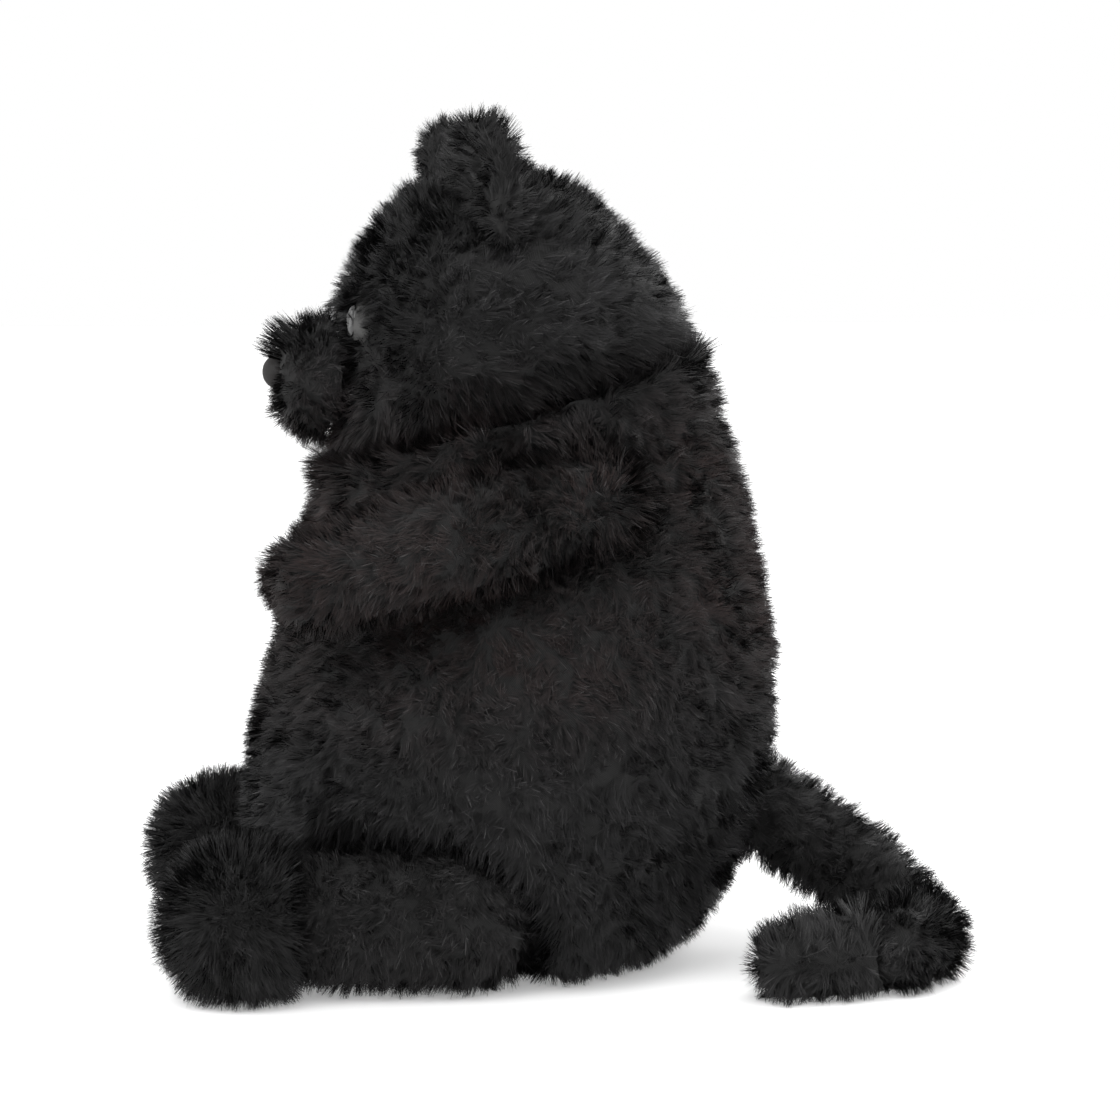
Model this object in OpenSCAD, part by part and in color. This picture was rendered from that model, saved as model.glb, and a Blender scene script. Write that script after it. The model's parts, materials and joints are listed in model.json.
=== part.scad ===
// Sitting plush cat, sewn from long-pile fur panels over stuffing, with a pellet bag
// in the seat, safety eyes, a safety nose, sewn-on ears, arms, legs and a curled tail.
// The cat faces -Y, its left side is +X, and it sits on the plane Z = 0.

/* [Torso] */
// Greatest width of the torso
torso_w = 184; // [176:1:190]
// Greatest depth of the torso, chest to back
torso_d = 178; // [172:1:184]
// Diameter of the seam where the head is sewn on
neck_d = 133; // [130:1:136]
// Height of the middle of the neck seam
neck_z = 192.5; // [190:0.5:195]
// Forward slope of the neck seam, in degrees
neck_tilt = 18; // [16:1:20]

/* [Head] */
// Greatest width of the head, cheek to cheek
head_w = 150; // [144:1:154]
// Greatest depth of the head without the muzzle
head_d = 123; // [118:1:126]
// Height of the crown
head_top = 270; // [267:1:273]
// Width of the muzzle
muzzle_w = 60; // [54:1:64]
// Height of the muzzle
muzzle_h = 46; // [42:1:48]
// Length of the muzzle in front of the face
muzzle_l = 16; // [14:1:18]
// Diameter of a safety eye
eye_d = 18; // [16:0.5:19]
// Width of the nose
nose_w = 15; // [12:1:17]

/* [Ears] */
// Width of an ear at its seam
ear_w = 44; // [38:1:46]
// Height of an ear above its seam
ear_h = 31; // [28:1:34]
// Thickness of one of the two layers of an ear
ear_layer = 5; // [4:0.5:6]

/* [Limbs] */
// Diameter of an arm at the shoulder
shoulder_d = 40; // [38:1:41]
// Diameter of a paw
paw_d = 33; // [30:1:35]
// Diameter of a leg at the hip
hip_d = 57; // [54:1:58]
// Diameter of a leg at the ankle
ankle_d = 42; // [40:1:44]
// Diameter of a foot
foot_d = 51; // [48:1:52]

/* [Tail] */
// Diameter of the tail where it is sewn on
tail_root_d = 31; // [29:1:32]
// Diameter of the end of the tail
tail_tip_d = 26; // [24:1:27]

/* [Cloth] */
// Thickness of the fur cloth on the head and the torso, pile included
cloth = 5; // [4:0.5:6]
// Thickness of the fur cloth on the limbs and the tail, pile included
limb_cloth = 4; // [3:0.5:5]
// Free space between two layers that move or lie on each other
gap = 0.4; // [0.3:0.1:0.5]

/* [Hidden] */

// Facets round a true curve
$fn = 48;
// Columns and rings of the lofted torso and head, and columns of the smaller pieces
columns = 36;
lining_columns = 24;
tube_columns = 16;
torso_rings = 13;
head_rings = 10;
// A length that is longer than the cat
far = 400;

fur_black = [0.10, 0.09, 0.09];
fur_dark = [0.13, 0.12, 0.12];
fluff_white = [0.92, 0.92, 0.90];

// The ball of the neck: the head turns and nods about its centre, in a bowl of the torso
neck_seam_y = 19.5;
neck_drop = 50;
neck_axis = [0, -sin(neck_tilt), cos(neck_tilt)];
neck_ball = [0, neck_seam_y, neck_z] + neck_drop * neck_axis;
bowl_r = norm([neck_d / 2, neck_drop]);
wad_t = 4;
ball_r = bowl_r - wad_t - 4 * gap;

// A ring is [middle y, middle z, half width, half depth, slope in degrees]
w2 = torso_w / 2;
d2 = torso_d / 2;
torso_stations = [
    [2, 0, 0.65 * w2, 0.60 * d2, 0],
    [8, 0.05 * neck_z, 0.84 * w2, 0.82 * d2, 0],
    [13, 0.17 * neck_z, 0.95 * w2, 0.945 * d2, 0],
    [20, 0.39 * neck_z, w2, d2, 0],
    [24, 0.56 * neck_z, 0.96 * w2, 0.95 * d2, 0.17 * neck_tilt],
    [24, 0.70 * neck_z, 0.87 * w2, 0.89 * d2, 0.44 * neck_tilt],
    [23.5, 0.81 * neck_z, 0.81 * w2, 0.835 * d2, 0.67 * neck_tilt],
    [neck_seam_y, neck_z, neck_d / 2, neck_d / 2, neck_tilt],
];

hw2 = head_w / 2;
hd2 = head_d / 2;
head_stations = [
    sphere_ring(ball_r, neck_d / 2 - 3),
    [18.5, head_top - 62, 0.97 * hw2, hd2, 0.67 * neck_tilt],
    [17.5, head_top - 46, hw2, 0.91 * hd2, 0.33 * neck_tilt],
    [16.5, head_top - 30, 0.91 * hw2, 0.79 * hd2, 0.11 * neck_tilt],
    [15.5, head_top - 15, 0.71 * hw2, 0.59 * hd2, 0],
    [15.2, head_top - 5, 0.44 * hw2, 0.41 * hd2, 0],
    [15, head_top, 0.05 * hw2, 0.06 * hd2, 0],
];

// Angles at which the panels meet, counted from +X towards +Y
front_seam = -35;
back_seam = 90;
seam_gap = 0.15;

// A safety eye looks out of the face at this place and in this direction
eye_spot = [33, -35, 219];
eye_turn = 26;
eye_lean = 8;
eye_bulge = 7;
stem_r = 2.2;
stem_l = 13;
washer_r = 7;
washer_t = 1.5;
muzzle_back = [0, -34, 198.5];
muzzle_depth = muzzle_l + 10;
nose_spot = muzzle_back + [0, -muzzle_depth - 0.1, 3];
nose_washer_y = -34;

// Middle of the seam of the left ear, its lean outwards and its turn to the side
ear_spot = [47, 6.5, 252];
ear_lean = 30;
ear_turn = 18;
ear_lift = 3.6;

// Shoulder of the left arm, and the line square to the torso's side there
shoulder = [74, 38, 163];
shoulder_slope = 14;
shoulder_axis = [cos(shoulder_slope), 0, sin(shoulder_slope)];
elbow_d = 0.93 * shoulder_d;
// The left arm is held up, and the right arm hangs a little lower, turned by this angle
right_arm_drop = 9;
arm_path = [shoulder, [88, -9, 151.5], [65, -49, 136]];
arm_sizes = [shoulder_d / 2, elbow_d / 2, paw_d / 2];
arm_travel = [-26, 9];
arm_clearance = 1.5;

hip = [60, -2, hip_d / 2 + 1];
ankle = [63.5, -48, foot_d / 2];
foot = [65, -75, foot_d / 2];
leg_path = [hip, ankle];
leg_sizes = [hip_d / 2, ankle_d / 2];
leg_travel_in = 3;
sole_h = 11;

// The tail is sewn on at the back, falls to the floor and curls round to the left
tail_d = (tail_root_d + tail_tip_d) / 2;
tail_root_path = [[0, 106, 50], [14, 132, 34], [41, 148, 17]];
tail_root_sizes = [tail_root_d / 2, tail_root_d / 2 - 0.5, tail_d / 2];
tail_bend_path = [[41, 148, 17], [64, 151, tail_d / 2], [81, 137, tail_d / 2 - 0.3]];
tail_bend_sizes = [tail_d / 2, tail_d / 2, tail_d / 2 - 0.3];
tail_end_path = [[81, 137, tail_d / 2 - 0.3], [89, 101, tail_tip_d / 2]];
tail_end_sizes = [tail_d / 2 - 0.3, tail_tip_d / 2];
joint_gap = 0.9;

// The pellet bag stands on the seat panel inside the stuffing
bag_r = 32;
bag_h = 30;
bag_cloth = 1.5;
bag_y = 24;

// ---- Points and rings -------------------------------------------------------------

// A value on the smooth curve through four others, between the second and the third
function smooth(a, b, c, d, t) =
    0.5 * (2 * b + (c - a) * t + (2 * a - 5 * b + 4 * c - d) * t * t
    + (3 * b - a - 3 * c + d) * t * t * t);

// The ring at place s along a list of stations, where whole numbers are stations
function ring_at(stations, s) =
    let (last = len(stations) - 1, i = min(floor(s), last - 1))
    smooth(stations[max(i - 1, 0)], stations[i], stations[i + 1],
        stations[min(i + 2, last)], s - i);

function rings_of(stations, count) =
    [for (i = [0 : count]) ring_at(stations, i * (len(stations) - 1) / count)];

// A ring drawn in by t and lifted by up
function drawn_in(ring, t, up) =
    [ring[0], ring[1] + up, max(ring[2] - t, 0.6), max(ring[3] - t, 0.6), ring[4]];

// All rings drawn in by t, with the lift running from first_up to last_up
function lining(rings, t, first_up, last_up) =
    [for (i = [0 : len(rings) - 1])
        drawn_in(rings[i], t, first_up + (last_up - first_up) * i / (len(rings) - 1))];

// The ring of radius r on a ball of radius ball round the middle of the neck ball
function sphere_ring(ball, r) =
    let (middle = neck_ball - sqrt(ball * ball - r * r) * neck_axis)
    [middle[1], middle[2], r, r, neck_tilt];

// The rings down a bowl, from radius r to its bottom
function bowl_rings(ball, r, count) =
    [for (i = [0 : count]) sphere_ring(ball, max(r * (1 - i / count), 1))];

function ring_point(ring, angle) = [
    ring[2] * cos(angle),
    ring[0] + ring[3] * sin(angle) * cos(ring[4]),
    ring[1] + ring[3] * sin(angle) * sin(ring[4]),
];

// Angles all the way round, and from one seam to another
function around(count) = [for (j = [0 : count - 1]) j * 360 / count];

function between(seam_a, seam_b) =
    let (m = round((seam_b - seam_a) * columns / 360), first = seam_a + seam_gap)
    [for (j = [0 : m]) first + j * (seam_b - seam_a - 2 * seam_gap) / m];

function rows_of(rings, angles) =
    [for (ring = rings) [for (angle = angles) ring_point(ring, angle)]];

// The ring of a tube is [middle, direction, radius]; its angles start square to up
function tube_point(ring, up, angle) =
    let (side = cross(up, ring[1]), top = cross(ring[1], side))
    ring[0] + ring[2] * (cos(angle) * side / norm(side) + sin(angle) * top / norm(top));

function tube_rows(rings, up, angles) =
    [for (ring = rings) [for (angle = angles) tube_point(ring, up, angle)]];

// A list's value at place s, smooth through its entries
function value_at(list, s) =
    let (last = len(list) - 1, i = min(floor(s), last - 1))
    smooth(i > 0 ? list[i - 1] : 2 * list[0] - list[1], list[i], list[i + 1],
        i + 2 > last ? 2 * list[last] - list[last - 1] : list[i + 2], s - i);

function heading_at(path, s) =
    let (e = 0.05, last = len(path) - 1, way = value_at(path, min(s + e, last))
        - value_at(path, max(s - e, 0)))
    way / norm(way);

// The rings of a tube through a path, thinner all round by t. Its last end is round, and
// its first end is round too, or a hollow of radius cup for the ball end of another tube.
function tube_rings(path, sizes, t, cup = 0) =
    let (last = len(path) - 1, steps = 2 * last, r0 = sizes[0] - t, r1 = sizes[last] - t,
        way0 = heading_at(path, 0), way1 = heading_at(path, last), caps = [4, 32, 62],
        low = cup > 0 ? sqrt((cup + t) * (cup + t) - r0 * r0) / norm(path[1] - path[0]) : 0)
    concat(
        cup > 0
            ? [for (a = caps) let (r = r0 * sin(a))
                [path[0] + way0 * sqrt((cup + t) * (cup + t) - r * r), way0, r]]
            : [for (a = caps) [path[0] - way0 * r0 * cos(a), way0, r0 * sin(a)]],
        [for (i = [0 : steps]) let (s = low + (last - low) * i / steps)
            [value_at(path, s), heading_at(path, s), value_at(sizes, s) - t]],
        [for (i = [2 : -1 : 0]) let (a = caps[i])
            [path[last] + way1 * r1 * cos(a), way1, r1 * sin(a)]]
    );

function all_but_last(list) = [for (i = [0 : len(list) - 2]) list[i]];

// ---- Building blocks --------------------------------------------------------------

// A soft piece: it has no bores or pins, so it is kept as plain facets
module soft(tint) {
    color(tint)
        resize([0, 0, 0])
            union() children();
}

// A solid through closed rows of points, with a flat face at each end
module loft(rows) {
    m = len(rows[0]);
    n = len(rows) - 1;
    sides = [
        for (i = [0 : n - 1]) for (j = [0 : m - 1]) let (k = (j + 1) % m)
            [i * m + j, (i + 1) * m + j, (i + 1) * m + k, i * m + k],
    ];
    ends = [
        [for (j = [0 : m - 1]) j],
        [for (j = [m - 1 : -1 : 0]) n * m + j],
    ];
    polyhedron([for (row = rows) each row], concat(sides, ends), convexity = 6);
}

// A piece of cloth between open outer rows and open inner rows of points
module panel(outer, inner) {
    m = len(outer[0]) - 1;
    n = len(outer) - 1;
    row = m + 1;
    half = row * (n + 1);
    faces = [
        for (i = [0 : n - 1]) for (j = [0 : m - 1]) let (a = i * row + j, b = a + row)
            each [[a, b, b + 1, a + 1], [half + a, half + a + 1, half + b + 1, half + b]],
        for (i = [0 : n - 1]) let (a = i * row, b = a + row)
            each [[a, half + a, half + b, b], [a + m, b + m, half + b + m, half + a + m]],
        for (j = [0 : m - 1]) let (b = n * row + j)
            each [[j, j + 1, half + j + 1, half + j], [b + 1, b, half + b, half + b + 1]],
    ];
    polyhedron([for (rows = [outer, inner]) for (r = rows) each r], faces, convexity = 6);
}

// A tube filled right through, and one half of a sewn tube, on the side that up points to
module tube(path, sizes, up, t, cup = 0) {
    loft(tube_rows(tube_rings(path, sizes, t, cup), up, around(tube_columns)));
}

module tube_half(path, sizes, up, cup = 0) {
    angles = [for (j = [0 : tube_columns / 2]) j * 360 / tube_columns];
    translate(seam_gap * up / norm(up))
        panel(
            tube_rows(tube_rings(path, sizes, 0, cup), up, angles),
            tube_rows(tube_rings(path, sizes, limb_cloth, cup), up, angles)
        );
}

// A ball at a point
module ball(at, r) {
    translate(at) sphere(r = r);
}

// The right-hand copy of a left-hand piece
module on_side(side) {
    if (side > 0) children();
    else mirror([1, 0, 0]) children();
}

// Something turned about the left shoulder; a positive angle lowers the paw
module at_shoulder(angle) {
    translate(shoulder)
        rotate(a = angle, v = shoulder_axis)
            translate(-shoulder)
                children();
}

// A piece of the left arm, or of the right arm, which hangs lower
module arm_pose(side) {
    on_side(side)
        at_shoulder(side > 0 ? 0 : right_arm_drop)
            children();
}

// ---- Room that the torso leaves for the limbs -------------------------------------

// The pocket that the arm swings in
module arm_room(side) {
    $fn = 16;
    steps = 4;
    middle = (arm_travel[0] + arm_travel[1]) / 2;
    on_side(side)
        for (i = [0 : steps - 1])
            hull()
                for (s = [2 * i / steps, 2 * (i + 1) / steps])
                    for (angle = [arm_travel[0], middle, arm_travel[1]])
                        at_shoulder(angle)
                            ball(value_at(arm_path, s), value_at(arm_sizes, s) + arm_clearance);
}

// The channel that the leg and the foot lie in
module leg_room(side) {
    $fn = 16;
    on_side(side) {
        for (angle = [0, -leg_travel_in])
            translate(hip)
                rotate(angle)
                    translate(-hip)
                        hull()
                            for (i = [0, 1], drop = [0, 6])
                                ball(leg_path[i] - [0, 0, drop], leg_sizes[i] + 4 * gap);
        ball(foot + [-leg_travel_in, 1, 0], foot_d / 2 + 4);
    }
}

module tail_room() {
    $fn = 16;
    ball(tail_root_path[0], tail_root_d / 2 + 3 * gap);
}

// ---- Torso ------------------------------------------------------------------------

torso_outer = rings_of(torso_stations, torso_rings);
torso_inner = concat(
    all_but_last(lining(torso_outer, cloth, cloth, 0)),
    [sphere_ring(bowl_r, neck_d / 2 - cloth)]
);
torso_core = concat(
    all_but_last(lining(torso_outer, cloth + gap, cloth + gap, 0)),
    bowl_rings(bowl_r, neck_d / 2 - cloth - gap, 5)
);

module torso_panel(seam_a, seam_b) {
    angles = between(seam_a, seam_b);
    panel(rows_of(torso_outer, angles), rows_of(torso_inner, angles));
}

module torso_side(side) {
    soft(fur_black)
        on_side(side)
            difference() {
                torso_panel(front_seam, back_seam);
                arm_room(1);
                leg_room(1);
                tail_room();
            }
}

module torso_side_left() {
    torso_side(1);
}

module torso_side_right() {
    torso_side(-1);
}

module belly_panel() {
    soft(fur_black)
        difference() {
            torso_panel(-180 - front_seam, front_seam);
            for (side = [1, -1]) {
                leg_room(side);
                arm_room(side);
            }
        }
}

// A flat base inside the lower edge of the other panels
module seat_panel() {
    soft(fur_black)
        difference() {
            loft(rows_of([
                drawn_in(torso_inner[0], gap, -cloth),
                drawn_in(torso_inner[0], gap, -seam_gap),
            ], around(columns)));
            leg_room(1);
            leg_room(-1);
        }
}

module torso_stuffing() {
    soft(fluff_white)
        difference() {
            loft(rows_of(torso_core, around(columns)));
            for (side = [1, -1]) {
                arm_room(side);
                leg_room(side);
            }
            tail_room();
            translate([0, bag_y, 0])
                cylinder(h = cloth + bag_h + 2 * gap, r = bag_r + gap);
        }
}

// Ladder stitches across the back seam, where the torso is closed by hand
module closing_thread() {
    stitches = 9;
    thread_r = 0.4;
    stitch_l = 5;
    color(fur_dark)
        for (i = [0 : stitches - 1])
            let (ring = ring_at(torso_stations, 3.3 + 1.6 * i / (stitches - 1)))
                translate(ring_point(ring, back_seam) + [-stitch_l / 2, 0, 0])
                    rotate([0, 90, 0])
                        cylinder(h = stitch_l, r = thread_r, $fn = 16);
}

// ---- Pellet bag -------------------------------------------------------------------

bag_bottom_z = cloth + gap;
bag_seam_z = bag_bottom_z + bag_h / 2;

// One half of the bag, as a shallow cup with a rounded edge
module bag_half(t) {
    corner = 9;
    rotate_extrude()
        intersection() {
            hull() {
                square([bag_r - corner - t, bag_h / 2 - t]);
                translate([bag_r - corner, bag_h / 2 - corner]) circle(r = corner - t, $fn = 32);
                square([bag_r - t, 1]);
            }
            square([far, far]);
        }
}

module pellet_bag_top() {
    color("beige")
        translate([0, bag_y, bag_seam_z + seam_gap])
            difference() {
                bag_half(0);
                bag_half(bag_cloth);
            }
}

module pellet_bag_bottom() {
    color("beige")
        translate([0, bag_y, bag_seam_z])
            mirror([0, 0, 1])
                difference() {
                    bag_half(0);
                    bag_half(bag_cloth);
                }
}

// The pellets lie in the bag as one mass, filled to a little over half
module pellets() {
    fill_h = 0.62 * bag_h;
    color("lightgrey")
        translate([0, bag_y, bag_bottom_z + bag_cloth + gap])
            cylinder(h = fill_h, r1 = bag_r - 11, r2 = bag_r - bag_cloth - 2);
}

// ---- Neck and head ----------------------------------------------------------------

// A wad of fibre between the bowl of the torso and the ball of the head
module neck_wad() {
    edge_r = neck_d / 2 - cloth - 2;
    soft(fluff_white)
        loft(rows_of(concat(
            [for (i = [0 : 4]) sphere_ring(bowl_r - 2 * gap, edge_r * (i + 0.1) / 4.1)],
            [for (i = [4 : -1 : 0]) sphere_ring(ball_r + 3 * gap, edge_r * (i + 0.1) / 4.1)]
        ), around(lining_columns)));
}

head_outer = rings_of(head_stations, head_rings);
head_inner = concat(
    [sphere_ring(ball_r, neck_d / 2 - 3 - cloth)],
    [for (i = [1 : head_rings]) drawn_in(head_outer[i], cloth, -cloth * i / head_rings)]
);
lining_t = 3;
head_core = concat(
    [for (r = [1, 14, 27, 40, neck_d / 2 - 4 - cloth - gap])
        sphere_ring(ball_r - lining_t - 2 * gap, r)],
    [for (i = [1 : head_rings])
        drawn_in(head_outer[i], cloth + gap, -(cloth + gap) * i / head_rings)]
);

// Something placed on the left eye, with +Z out of the face
module at_eye(side) {
    on_side(side)
        translate(eye_spot)
            rotate([90 - eye_lean, 0, eye_turn])
                children();
}

// The holes that an eye, its stem and its washer need
module eye_room() {
    for (side = [1, -1])
        at_eye(side) {
            translate([0, 0, -1]) cylinder(h = eye_d, r = eye_d / 2 + gap);
            translate([0, 0, -stem_l - gap]) cylinder(h = stem_l + gap, r = stem_r + gap);
            translate([0, 0, -stem_l - gap]) cylinder(h = stem_l - cloth - gap, r = washer_r + gap);
        }
}

// The hollows in the stuffing round the eyes and the three washers
module washer_room() {
    $fn = 24;
    for (side = [1, -1])
        at_eye(side)
            translate([0, 0, -stem_l - gap])
                cylinder(h = stem_l + gap + eye_d, r = eye_d / 2 + gap);
    translate([0, nose_washer_y + washer_t + gap, nose_spot[2]])
        rotate([90, 0, 0])
            cylinder(h = 20, r = washer_r + gap);
}

module head_panel(seam_a, seam_b) {
    angles = between(seam_a, seam_b);
    panel(rows_of(head_outer, angles), rows_of(head_inner, angles));
}

module face_panel() {
    soft(fur_black)
        difference() {
            head_panel(-180 - front_seam, front_seam);
            eye_room();
            nose_stem(gap);
        }
}

module head_side(side) {
    soft(fur_black)
        on_side(side)
            head_panel(front_seam, back_seam);
}

module head_side_left() {
    head_side(1);
}

module head_side_right() {
    head_side(-1);
}

// The cloth that closes the head below, inside the neck seam
module neck_lining() {
    edge_r = neck_d / 2 - 3 - cloth - gap;
    inner_r = ball_r - lining_t;
    soft(fur_black)
        loft(rows_of(concat(
            [for (i = [0 : 4]) sphere_ring(ball_r, edge_r * (i + 0.1) / 4.1)],
            [for (i = [4 : -1 : 0]) sphere_ring(inner_r, (edge_r - 1) * (i + 0.1) / 4.1)]
        ), around(lining_columns)));
}

module head_stuffing() {
    soft(fluff_white)
        difference() {
            loft(rows_of(head_core, around(columns)));
            washer_room();
            nose_stem(gap);
        }
}

// ---- Muzzle and nose --------------------------------------------------------------

// The rounded pad of the muzzle, thinner all round by t and set back a little further
module muzzle_pad(t) {
    steps = 6;
    w = muzzle_w / 2 - t;
    h = muzzle_h / 2 - t;
    l = muzzle_depth - 1.5 * t;
    translate(muzzle_back)
        rotate([90, 0, 0])
            loft(rows_of([for (i = [0 : steps]) let (a = 84 * i / steps)
                [0, l * sin(a) / sin(84), w * pow(cos(a), 0.6), h * pow(cos(a), 0.6), 0]],
                around(lining_columns)));
}

// The room that the muzzle leaves for the head and for the stem of the nose
module muzzle_room() {
    loft(rows_of(concat(
        [for (r = [1, 32, 52]) sphere_ring(ball_r + gap, r)],
        [for (ring = head_outer) drawn_in(ring, -gap, 0)]
    ), around(columns)));
    nose_stem(gap);
}

module muzzle_cover() {
    soft(fur_black)
        difference() {
            muzzle_pad(0);
            muzzle_pad(limb_cloth);
            muzzle_room();
        }
}

module muzzle_stuffing() {
    soft(fluff_white)
        difference() {
            muzzle_pad(limb_cloth + gap);
            muzzle_room();
        }
}

// The stem of the nose, with room all round it
module nose_stem(room = 0) {
    translate(nose_spot)
        rotate([-90, 0, 0])
            rotate(180 / $fn)
                translate([0, 0, -room])
                    cylinder(h = muzzle_l + stem_l + 3 + 2 * room, r = stem_r + room);
}

// A rounded triangle, point down, with its stem
module nose() {
    nose_h = 0.6 * nose_w;
    corner = 2.4;
    nose_t = 4;
    color([0.07, 0.06, 0.06]) {
        translate(nose_spot)
            rotate([90, 0, 0])
                linear_extrude(height = nose_t)
                    hull() {
                        for (x = [-1, 1])
                            translate([x * (nose_w / 2 - corner), nose_h / 2 - corner])
                                circle(r = corner, $fn = 24);
                        translate([0, -nose_h / 2 + corner / 2]) circle(r = corner, $fn = 24);
                    }
        translate([0, -1, 0]) nose_stem();
    }
}

module ring_washer() {
    difference() {
        cylinder(h = washer_t, r = washer_r);
        translate([0, 0, -1]) cylinder(h = washer_t + 2, r = stem_r + 0.05);
    }
}

module nose_washer() {
    color("white")
        translate([0, nose_washer_y, nose_spot[2]])
            rotate([-90, 0, 0])
                ring_washer();
}

// ---- Eyes -------------------------------------------------------------------------

// A pale dome with a hollow for the pupil, on a stem that goes through the cloth
module eye(side) {
    dome_r = (eye_d * eye_d / 4 + eye_bulge * eye_bulge) / (2 * eye_bulge);
    color([0.66, 0.66, 0.65])
        at_eye(side)
            difference() {
                union() {
                    intersection() {
                        translate([0, 0, eye_bulge - dome_r]) sphere(r = dome_r);
                        cylinder(h = eye_bulge + 1, r = eye_d / 2);
                    }
                    translate([0, 0, -stem_l]) cylinder(h = stem_l + 1, r = stem_r);
                }
                translate([0, 0, eye_bulge - pupil_t]) cylinder(h = eye_bulge, r = pupil_r);
            }
}

pupil_r = 0.29 * eye_d;
pupil_t = 2.5;

module eye_left() {
    eye(1);
}

module eye_right() {
    eye(-1);
}

module pupil(side) {
    color([0.03, 0.03, 0.03])
        at_eye(side)
            translate([0, 0, eye_bulge - pupil_t])
                cylinder(h = pupil_t, r = pupil_r - 0.05);
}

module pupil_left() {
    pupil(1);
}

module pupil_right() {
    pupil(-1);
}

module eye_washer(side) {
    color("white")
        at_eye(side)
            translate([0, 0, -cloth - washer_t - 1.5])
                ring_washer();
}

module eye_washer_left() {
    eye_washer(1);
}

module eye_washer_right() {
    eye_washer(-1);
}

// ---- Ears -------------------------------------------------------------------------

// The outline of an ear: a rounded arch over a seam that follows the curve of the head
module ear_outline() {
    steps = 12;
    head_curve = 74;
    arch = [for (i = [0 : steps]) let (a = 180 * i / steps)
        [ear_w / 2 * sign(cos(a)) * pow(abs(cos(a)), 0.8), ear_h * pow(sin(a), 0.75)]];
    seam = [for (i = [1 : steps - 1]) let (x = ear_w * (i / steps - 0.5))
        [x, sqrt(head_curve * head_curve - x * x)
            - sqrt(head_curve * head_curve - ear_w * ear_w / 4)]];
    polygon(concat(arch, seam));
}

module ear_layer_at(side, layer) {
    color(layer > 0 ? fur_black : fur_dark)
        on_side(side)
            translate(ear_spot)
                rotate([0, ear_lean, 0])
                    rotate([0, 0, ear_turn])
                        translate([0, 0, ear_lift])
                            rotate([90, 0, 0])
                                translate([0, 0, layer > 0 ? seam_gap : -ear_layer])
                                    linear_extrude(height = ear_layer - seam_gap)
                                        ear_outline();
}

module ear_front_left() {
    ear_layer_at(1, 1);
}

module ear_back_left() {
    ear_layer_at(1, -1);
}

module ear_front_right() {
    ear_layer_at(-1, 1);
}

module ear_back_right() {
    ear_layer_at(-1, -1);
}

// ---- Arms -------------------------------------------------------------------------

// The seams of an arm run along its inner and its outer side
arm_up = cross(arm_path[2] - arm_path[1], arm_path[1] - arm_path[0]);

module arm_panel(side, up) {
    soft(fur_black)
        arm_pose(side)
            tube_half(arm_path, arm_sizes, up * arm_up);
}

module arm_stuffing(side) {
    soft(fluff_white)
        arm_pose(side)
            tube(arm_path, arm_sizes, arm_up, limb_cloth + gap);
}

module arm_upper_panel_left() {
    arm_panel(1, 1);
}

module arm_lower_panel_left() {
    arm_panel(1, -1);
}

module arm_stuffing_left() {
    arm_stuffing(1);
}

module arm_upper_panel_right() {
    arm_panel(-1, 1);
}

module arm_lower_panel_right() {
    arm_panel(-1, -1);
}

module arm_stuffing_right() {
    arm_stuffing(-1);
}

// ---- Legs and feet ----------------------------------------------------------------

leg_up = cross([-1, 0, 0], ankle - hip);

module leg_panel(side, up) {
    soft(fur_black)
        on_side(side)
            tube_half(leg_path, leg_sizes, up * leg_up);
}

module leg_stuffing(side) {
    soft(fluff_white)
        on_side(side)
            tube(leg_path, leg_sizes, leg_up, limb_cloth + gap);
}

module leg_upper_panel_left() {
    leg_panel(1, 1);
}

module leg_lower_panel_left() {
    leg_panel(1, -1);
}

module leg_stuffing_left() {
    leg_stuffing(1);
}

module leg_upper_panel_right() {
    leg_panel(-1, 1);
}

module leg_lower_panel_right() {
    leg_panel(-1, -1);
}

module leg_stuffing_right() {
    leg_stuffing(-1);
}

// The ball of a foot, thinner by t, with a cup that turns on the end of the leg
module foot_ball(t) {
    difference() {
        ball(foot, foot_d / 2 - t);
        ball(ankle, ankle_d / 2 + joint_gap + t);
    }
}

module foot_cover(side) {
    color(fur_black)
        on_side(side)
            difference() {
                foot_ball(0);
                foot_ball(limb_cloth);
                translate([-far / 2, -far / 2, -far + sole_h + seam_gap])
                    cube([far, far, far]);
            }
}

module foot_sole(side) {
    color(fur_dark)
        on_side(side)
            difference() {
                foot_ball(0);
                foot_ball(limb_cloth);
                translate([-far / 2, -far / 2, sole_h])
                    cube([far, far, far]);
            }
}

module foot_stuffing(side) {
    soft(fluff_white)
        on_side(side)
            foot_ball(limb_cloth + 3 * gap, $fn = 16);
}

module foot_cover_left() {
    foot_cover(1);
}

module foot_sole_left() {
    foot_sole(1);
}

module foot_stuffing_left() {
    foot_stuffing(1);
}

module foot_cover_right() {
    foot_cover(-1);
}

module foot_sole_right() {
    foot_sole(-1);
}

module foot_stuffing_right() {
    foot_stuffing(-1);
}

// ---- Tail -------------------------------------------------------------------------

root_up = cross(tail_root_path[2] - tail_root_path[1], tail_root_path[1] - tail_root_path[0]);
bend_cup = tail_root_sizes[2] + joint_gap;
end_cup = tail_bend_sizes[2] + joint_gap;
upwards = [0, 0, 1];

module tail_root_top() {
    soft(fur_black) tube_half(tail_root_path, tail_root_sizes, root_up);
}

module tail_root_bottom() {
    soft(fur_black) tube_half(tail_root_path, tail_root_sizes, -root_up);
}

module tail_root_stuffing() {
    soft(fluff_white) tube(tail_root_path, tail_root_sizes, root_up, limb_cloth + gap);
}

module tail_bend_top() {
    soft(fur_black) tube_half(tail_bend_path, tail_bend_sizes, upwards, bend_cup);
}

module tail_bend_bottom() {
    soft(fur_black) tube_half(tail_bend_path, tail_bend_sizes, -upwards, bend_cup);
}

module tail_bend_stuffing() {
    soft(fluff_white)
        tube(tail_bend_path, tail_bend_sizes, upwards, limb_cloth + gap, bend_cup);
}

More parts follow.
